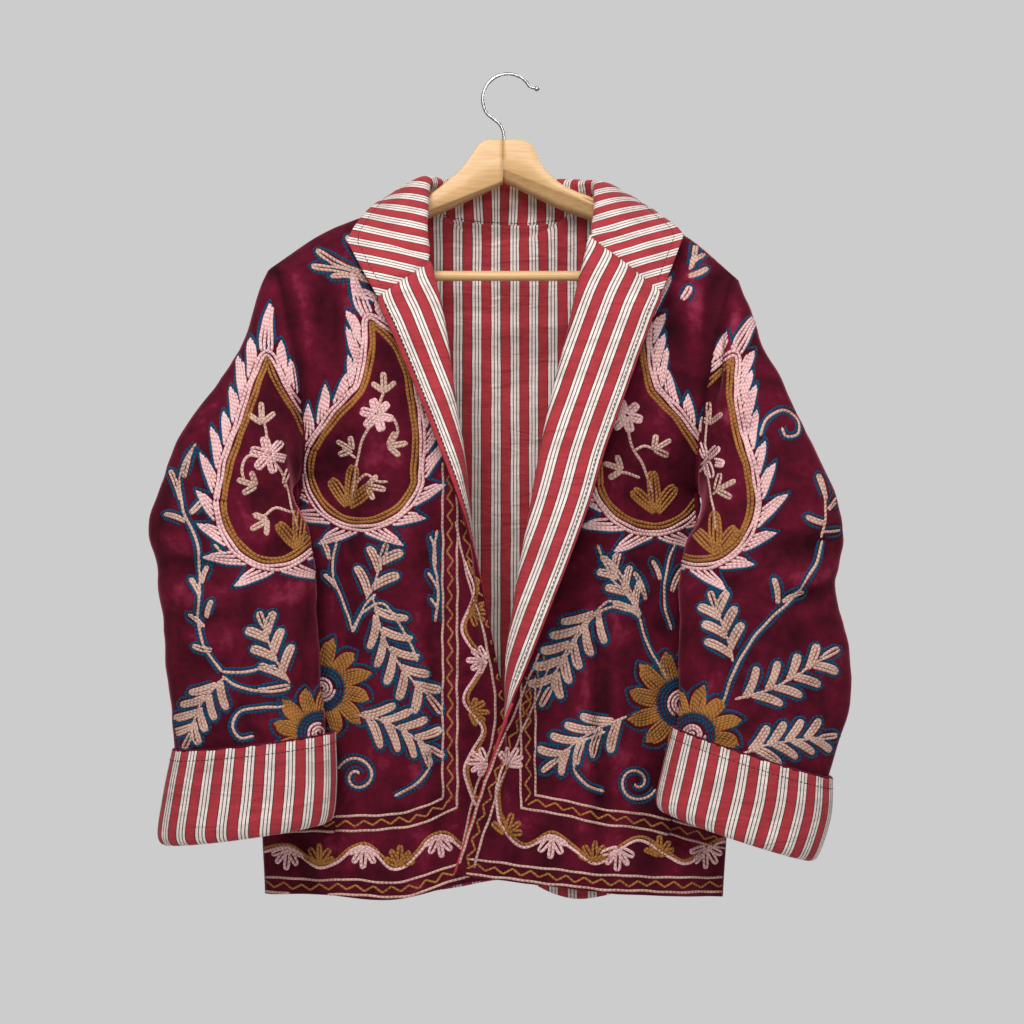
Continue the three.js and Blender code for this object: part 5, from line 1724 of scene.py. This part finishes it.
# Leaves and sprays, each from its foot to its tip. wide is in px; rim "-" has no outline.
LEAVES = table("""
  piece        side  x    y    tx   ty  wide fill  rim  bend
  front_right  front 372  280  346  236  8.5  beige teal  0.05
  front_right  front 362  272  316  250   7.5  beige teal -0.05
  front_right  front 366  277  311  266   7.5  beige teal  0.03
  front_right  front 372  282  330  276   6.5  beige teal  0.06
  front_right  front 378  300  352  290   9  pink  teal  0.05
  front_right  front 436  566  430  536   4.5  beige teal  0.05
  front_right  front 437  590  428  572   4.5  beige teal  0.05
  front_right  front 438  610  430  598   3.5  beige teal  0.05
  front_right  front 330  560  322  540   5.5  beige teal  0.05
  front_right  front 336  588  324  574   5.5  beige teal  0.05
  front_left   front 690  270  696  242   6.5  beige teal  0.05
  front_left   front 690  262  712  246   5.5  beige teal  0.05
  front_left   front 688  276  708  268   5.5  beige teal  0.05
  front_left   front 682  300  690  286   7  pink  teal  0.05
  front_left   front 640  616  604  556   7.5  beige teal  0.04
  front_left   front 646  600  634  572   6.5  beige teal  0.05
  front_left   front 660  580  652  560   5.5  beige teal  0.05
  front_left   front 672  592  684  566   6.5  beige teal -0.05
  sleeve_right front 180  500  170  470   6.5  beige teal  0.05
  sleeve_right front 184  478  192  450   6.5  beige teal -0.05
  sleeve_right front 186  522  164  514   5.5  beige teal  0.05
  sleeve_right front 190  514  202  500   5.5  beige teal  0.05
  sleeve_right front 200  596  190  578   5.5  beige teal  0.05
  sleeve_right front 202  584  208  566   5.5  beige teal -0.05
  sleeve_right front 204  628  188  614   5.5  beige teal  0.05
  sleeve_right front 206  618  212  600   5.5  beige teal -0.05
  sleeve_right front 212  650  192  646   5.5  beige teal -0.05
  sleeve_right front 258  690  290  686   7.5  beige teal  0.05
  sleeve_right front 226  560  214  544   4.5  beige teal  0.05
  sleeve_left  front 826  500  818  474   6.5  beige teal  0.05
  sleeve_left  front 828  510  840  492   5.5  beige teal  0.05
  sleeve_left  front 826  524  806  516   6.5  beige teal -0.05
  sleeve_left  front 822  532  840  530   4.5  beige teal  0.05
  sleeve_left  front 778  604  774  578   6.5  beige teal  0.05
  sleeve_left  front 782  602  804  592   6.5  beige teal -0.05
""")

# Stems, curls, borders and vines: a line through up to eight places.
LINES = table("""
  piece        side  kind    x0  y0  x1  y1  x2  y2  x3  y3  x4  y4  x5  y5  x6  y6  x7  y7
  front_right  front sprig   384 392 380 404 377 415 -   -   -   -   -   -   -   -   -   -
  front_right  front sprig   377 415 362 440 356 470 352 500 -   -   -   -   -   -   -   -
  front_right  front sprig   377 415 392 418 398 432 390 446 -   -   -   -   -   -   -   -
  front_right  front sprig   356 458 348 452 342 448 -   -   -   -   -   -   -   -   -   -
  front_right  front sprig   354 486 366 474 378 482 388 482 -   -   -   -   -   -   -   -
  front_left   front sprig   626 416 632 446 644 468 654 496 -   -   -   -   -   -   -   -
  front_left   front sprig   634 450 644 446 654 450 -   -   -   -   -   -   -   -   -   -
  front_left   front sprig   640 478 624 472 612 476 -   -   -   -   -   -   -   -   -   -
  sleeve_right front sprig   262 410 266 430 269 455 -   -   -   -   -   -   -   -   -   -
  sleeve_right front sprig   269 455 282 474 290 500 298 530 -   -   -   -   -   -   -   -
  sleeve_right front sprig   269 455 248 456 242 470 246 484 -   -   -   -   -   -   -   -
  sleeve_right front sprig   292 512 276 508 264 516 252 514 -   -   -   -   -   -   -   -
  sleeve_left  front sprig   709 410 706 434 706 460 712 500 716 530 -   -   -   -   -   -
  sleeve_left  front sprig   712 494 724 486 734 484 -   -   -   -   -   -   -   -   -   -
  front_right  front stem    337 540 332 570 344 604 352 630  -   -   -   -   -   -   -   -
  front_right  front stem    352 632 364 612 382 604 402 628 418 662  -   -   -   -   -   -
  front_right  front stem    352 632 360 614 368 602 376 594 -   -   -   -   -   -   -   -
  front_left   front stem    640 618 632 610 620 603 607 601 -   -   -   -   -   -   -   -
  front_right  front stem    437 530 434 556 438 590 436 622  -   -   -   -   -   -   -   -
  front_right  front stem    430 752 428 770 414 786 394 796  -   -   -   -   -   -   -   -
  front_right  front border  450 462 450 560 450 680 450 803 430 812 410 819 385 822 335 824
  front_right  front border  335 824 310 824 286 825 250 827 -   -   -   -   -   -   -   -
  front_right  front border  478 866 456 872 436 879 413 887 390 890 350 887 310 887 256 883
  front_right  front border  463 520 472 566 488 620 499 672 503 716 494 760 480 800 470 850
  front_right  front vine    466 560 476 590 464 630 482 664 466 700 484 730 466 770 478 806
  front_right  front vine    262 850 290 846 305 857 320 866 335 862 350 850 364 845 378 854
  front_right  front vine    378 854 392 867 406 864 418 852 430 838 444 834 456 842 468 852
  front_left   front stem    597 545 612 578 632 600 640 618  -   -   -   -   -   -   -   -
  front_left   front stem    640 618 622 606 600 612 578 636 560 668  -   -   -   -   -   -
  front_left   front stem    640 618 648 646 660 666 668 680  -   -   -   -   -   -   -   -
  front_left   front stem    606 732 580 744 574 768 586 784 604 792  -   -   -   -   -   -
  front_left   front stem    676 540 668 566 664 600 672 630  -   -   -   -   -   -   -   -
  front_left   front border  528 676 528 720 528 760 528 802 556 806 598 816 632 820 670 827
  front_left   front border  670 827 690 832 708 837 732 843 -   -   -   -   -   -   -   -
  front_left   front border  728 884 690 885 650 884 600 882 564 878 529 874 482 868 467 866
  front_left   front border  467 866 477 831 486 805 494 780 504 755 517 725 531 692 546 655
  front_left   front vine    508 758 498 790 504 826 524 846 552 834 576 850 596 862 616 850
  front_left   front vine    616 850 640 838 664 852 684 862 702 852 716 842 728 840  -   -
  sleeve_right front stem    196 443 180 474 184 512 196 540 200 576 198 620 206 650 222 672
  sleeve_right front stem    222 672 244 672 262 668 276 666  -   -   -   -   -   -   -   -
  sleeve_right front stem    286 706 262 708 240 712 232 726 240 738 254 736  -   -   -   -
  sleeve_right front stem    222 676 236 686 252 690 268 690  -   -   -   -   -   -   -   -
  sleeve_left  front stem    760 436 768 418 784 410 798 420 797 434 786 436 782 427  -   -
  sleeve_left  front sprig   821 538 826 516 824 494 819 476 -   -   -   -   -   -   -   -
  sleeve_left  front stem    822 540 816 564 796 594 774 616 752 640 736 668 722 704  -   -
  back         back  border  238 826 300 826 370 826 440 828 512 830 584 828 660 826 742 826
  back         back  border  238 880 300 880 370 878 440 874 512 870 584 874 660 880 742 882
  back         back  vine    250 850 272 844 294 858 318 864 344 850 370 842 396 856 420 862
  back         back  vine    420 862 446 848 472 838 500 850 526 856 552 842 578 836 602 848
  back         back  vine    602 848 626 858 650 846 676 840 700 852 716 858 730 850 738 842
  back         back  stem    404 520 420 560 452 590 486 612  -   -   -   -   -   -   -   -
  back         back  stem    616 520 600 560 568 590 534 612  -   -   -   -   -   -   -   -
  back         back  stem    366 510 346 556 322 600 306 650  -   -   -   -   -   -   -   -
  back         back  stem    654 510 674 556 698 600 714 650  -   -   -   -   -   -   -   -
  back         back  stem    470 700 440 720 400 722 366 708  -   -   -   -   -   -   -   -
  back         back  stem    550 700 580 720 620 722 654 708  -   -   -   -   -   -   -   -
  back         back  stem    510 560 512 480 508 410 512 350  -   -   -   -   -   -   -   -
""")

# Small round motifs: flower, sunflower, bud, tulip, palmette and curl. size is a radius or a
# length in px and turn is where it points, in degrees: 0 to the right, 90 down.
SPOTS = table("""
  piece        side  kind      x    y   size turn fill
  front_right  front flower    377  415  17    0  pink
  front_right  front bud       384  392  20  -92  beige
  front_right  front bud       352  450  18 -150  beige
  front_right  front bud       388  446  20  -10  beige
  front_right  front tulip     348  506  41  -82  gold
  front_right  front bud       366  486  20   10  beige
  front_right  front sunflower 322  689  54    0  gold
  front_right  front curl      357  776  20  200  beige
  front_right  front palmette  470  612  20    0  gold
  front_right  front palmette  486  660  20  180  pink
  front_right  front palmette  470  712  20    0  gold
  front_right  front palmette  486  762  20  180  pink
  front_right  front palmette  288  848  22   95  pink
  front_right  front palmette  319  864  21  -88  gold
  front_right  front palmette  364  847  22   92  pink
  front_right  front palmette  399  866  21  -86  gold
  front_right  front palmette  438  836  22   80  pink
  front_left   front flower    626  416  17    0  pink
  front_left   front bud       618  392  18 -100  beige
  front_left   front bud       654  450  20  -30  beige
  front_left   front tulip     656  512  41  -95  gold
  front_left   front bud       622  470  20 -160  beige
  front_left   front sunflower 682  703  60    0  gold
  front_left   front curl      637  782  20   20  beige
  front_left   front palmette  508  764  19  -60  pink
  front_left   front palmette  505  834  22  -70  gold
  front_left   front palmette  552  836  23   95  pink
  front_left   front palmette  594  862  22  -88  gold
  front_left   front palmette  618  848  23   92  pink
  front_left   front palmette  659  856  21  -88  gold
  front_left   front palmette  706  846  23   92  pink
  sleeve_right front flower    269  455  19    0  pink
  sleeve_right front bud       262  424  22  -92  beige
  sleeve_right front bud       256  486  20 -160  beige
  sleeve_right front bud       284  484  22  -20  beige
  sleeve_right front tulip     298  548  41  -88  gold
  sleeve_right front bud       268  520  20  150  beige
  sleeve_right front sunflower 319  733  52    0  gold
  sleeve_left  front flower    706  460  19    0  pink
  sleeve_left  front bud       709  424  22  -90  beige
  sleeve_left  front bud       716  490  22  -25  beige
  sleeve_left  front tulip     716  552  41  -92  gold
  sleeve_left  front bud       694  500  18 -150  beige
  sleeve_left  front sunflower 693  735  53    0  gold
  back         back  sunflower 510  650  62    0  gold
  back         back  sunflower 510  320  44    0  gold
  back         back  flower    388  392  18    0  pink
  back         back  flower    632  392  18    0  pink
  back         back  tulip     376  484  41  -88  gold
  back         back  tulip     644  484  41  -92  gold
  back         back  bud       398  430  22  -20  beige
  back         back  bud       622  430  22 -160  beige
  back         back  bud       366  430  20 -150  beige
  back         back  bud       654  430  20  -30  beige
  back         back  sunflower 306  700  48    0  gold
  back         back  sunflower 714  700  48    0  gold
  back         back  palmette  294  856  22  -88  gold
  back         back  palmette  344  850  23   92  pink
  back         back  palmette  396  856  22  -88  gold
  back         back  palmette  446  846  23   92  pink
  back         back  palmette  500  850  22  -88  gold
  back         back  palmette  552  842  23   92  pink
  back         back  palmette  602  848  22  -88  gold
  back         back  palmette  650  846  23   92  pink
  back         back  palmette  700  852  22  -88  gold
  sleeve_right back  flower    268  456  18    0  pink
  sleeve_right back  tulip     268  546  41  -88  gold
  sleeve_right back  sunflower 258  700  50    0  gold
  sleeve_left  back  flower    712  456  18    0  pink
  sleeve_left  back  tulip     712  546  41  -92  gold
  sleeve_left  back  sunflower 752  700  50    0  gold
""")

# Sprays on the hidden sides: a rib with leaves in pairs along it.
SPRAYS = table("""
  piece        side  x    y    tx   ty  bend leaves size
  front_right  front 366  600  382  556  0.05   2   28
  front_right  front 372  596  434  700  0.10   5   31
  front_right  front 353  714  430  750 -0.08   4   31
  front_left   front 607  601  549  694  0.08   5   31
  front_left   front 640  618  608  566  0.05   3   24
  front_left   front 628  717  554  764  0.08   4   30
  sleeve_right front 290  684  264  624 -0.05   3   27
  sleeve_right front 226  676  190  738  0.10   4   26
  sleeve_left  front 733  662  714  604  0.03   3   27
  sleeve_left  front 735  700  826  655  0.06   4   29
  sleeve_left  front 742  754  824  738 -0.05   4   27
  back         back  486  612  420  560  0.15   5   34
  back         back  534  612  600  560 -0.15   5   34
  back         back  450  650  360  610 -0.12   6   36
  back         back  570  650  660  610  0.12   6   36
  back         back  456  690  380  770  0.12   6   34
  back         back  564  690  640  770 -0.12   6   34
  back         back  510  710  510  792  0.05   6   30
  back         back  306  656  330  580  0.12   5   30
  back         back  714  656  690  580 -0.12   5   30
  back         back  322  744  362  792 -0.12   4   26
  back         back  698  744  658  792  0.12   4   26
  back         back  500  300  450  246  0.12   5   26
  back         back  520  300  570  246 -0.12   5   26
  back         back  340  300  320  250  0.10   4   24
  back         back  690  300  702  250 -0.10   4   24
  back         back  512  590  470  470  0.10   6   30
  back         back  508  590  552  470 -0.10   6   30
  sleeve_right back  262  648  230  600  0.12   5   26
  sleeve_right back  280  650  298  604 -0.10   4   24
  sleeve_right back  222  700  196  640  0.12   5   26
  sleeve_right back  206  560  186  470 -0.10   6   26
  sleeve_left  back  740  648  712  606  0.12   4   24
  sleeve_left  back  760  650  800  610 -0.12   5   26
  sleeve_left  back  778  700  826  660 -0.12   5   26
  sleeve_left  back  792  560  812  470  0.10   6   26
""")


def draw():
    arts = {}

    def art(r):
        key = (r["piece"], r["side"])
        return arts.setdefault(key, Art(*key))

    for r in LINES:
        places = [(r[f"x{k}"], r[f"y{k}"]) for k in range(8) if not math.isnan(r[f"x{k}"])]
        {"stem": art(r).stem, "sprig": art(r).sprig, "border": art(r).border, "vine": art(r).vine}[r["kind"]](places)
    for r in LEAVES:
        art(r).leaf((r["x"], r["y"]), (r["tx"], r["ty"]), r["wide"], r["fill"], r["rim"], r["bend"])
    for r in SPRAYS:
        a, b = np.array([r["x"], r["y"]]), np.array([r["tx"], r["ty"]])
        d = b - a
        side = unit(np.array([-d[1], d[0]]))
        place = lambda s: a + d * s + side * (r["bend"] * np.linalg.norm(d) * 4 * s * (1 - s))
        art(r).sprig([place(s) for s in (0, 0.33, 0.66, 0.95)])
        n = int(r["leaves"])
        for k in range(n):
            for way in (-1, 1):
                s = 0.10 + 0.74 * (k + (0.3 if way > 0 else 0)) / max(1, n - 1 + 0.3)
                aim = unit(unit(d) * 1.0 + side * way * 0.92)
                art(r).leaf(place(s), place(s) + aim * r["size"] * (1.18 - 0.34 * s), 8.8, "beige", "teal", -0.06 * way)
        art(r).leaf(place(0.93), b + unit(d) * r["size"] * 0.5, 8, "beige", "teal")
    for r in PAISLEYS:
        axis = [(r[f"x{k}"], r[f"y{k}"]) for k in range(4)]
        art(r).paisley(axis, (r["w0"], r["w1"], r["w2"]), r["foot"], int(r["flames"]), r["length"])
    for r in SPOTS:
        a, c, size, turn, fill = art(r), (r["x"], r["y"]), r["size"], r["turn"], r["fill"]
        end = (c[0] + size * math.cos(math.radians(turn)), c[1] + size * math.sin(math.radians(turn)))
        if r["kind"] == "flower":
            a.flower(c, size, fill)
        elif r["kind"] == "sunflower":
            a.sunflower(c, size)
        elif r["kind"] == "bud":
            a.bud(c, end, fill)
        elif r["kind"] == "tulip":
            a.fan(c, turn, size, 42, 3, size * 0.34, fill)
        elif r["kind"] == "palmette":
            a.palmette(c, turn, size, fill)
        elif r["kind"] == "curl":
            a.spiral(c, size, turn, 1.35)
    return list(arts.values())


# ---- the object ------------------------------------------------------------------------
def main():
    cloths = build_cloth()
    velvet, lining, wood = velvet_material(), lining_material(), wood_material()
    steel = plain_material("plated_steel", srgb(168, 166, 162), 0.2, 1.0)
    for rows, material, near, far, slot in (
        (VELVET_PIECES, velvet, 0.0, VELVET, "velvet"),
        (LINING_PIECES, lining, VELVET + BETWEEN, VELVET + BETWEEN + LINING, "lining"),
    ):
        for row in rows:
            c = cloths[row["cloth"]]
            hide = tucked(c) if slot == "lining" else None
            o = dress(shell(row["node"] + "_cloth", c, near, far, cloth_uv(c), hide), material, row["node"], slot)
            w, l, area = flat_size(c)
            print("sheet", row["node"], "flat %.3f x %.3f m, area %.4f m2, share %.2f, %d quads" % (w, l, area, area / (w * l), len(o.data.polygons)))
    threads = {k: thread_material("thread_" + k, v[0], v[1]) for k, v in THREADS.items()}
    sew(draw(), cloths, threads)
    trims(cloths, velvet, plain_material("lining_red", srgb(176, 44, 54), 0.8), plain_material("dark_thread", srgb(40, 26, 28), 0.7))
    dress(loft_object("arm_right", arm_points(ARM_RIGHT, False), flip=True), wood, "hanger_arm_right", "beech")
    dress(loft_object("arm_left", arm_points(ARM_LEFT, False)), wood, "hanger_arm_left", "beech")
    dress(hook_object(), steel, "hanger_hook", "hook_steel")
    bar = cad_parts["hanger_bar"]
    bar.material_slots[0].material = wood
    stage()
    lights_and_camera()


main()
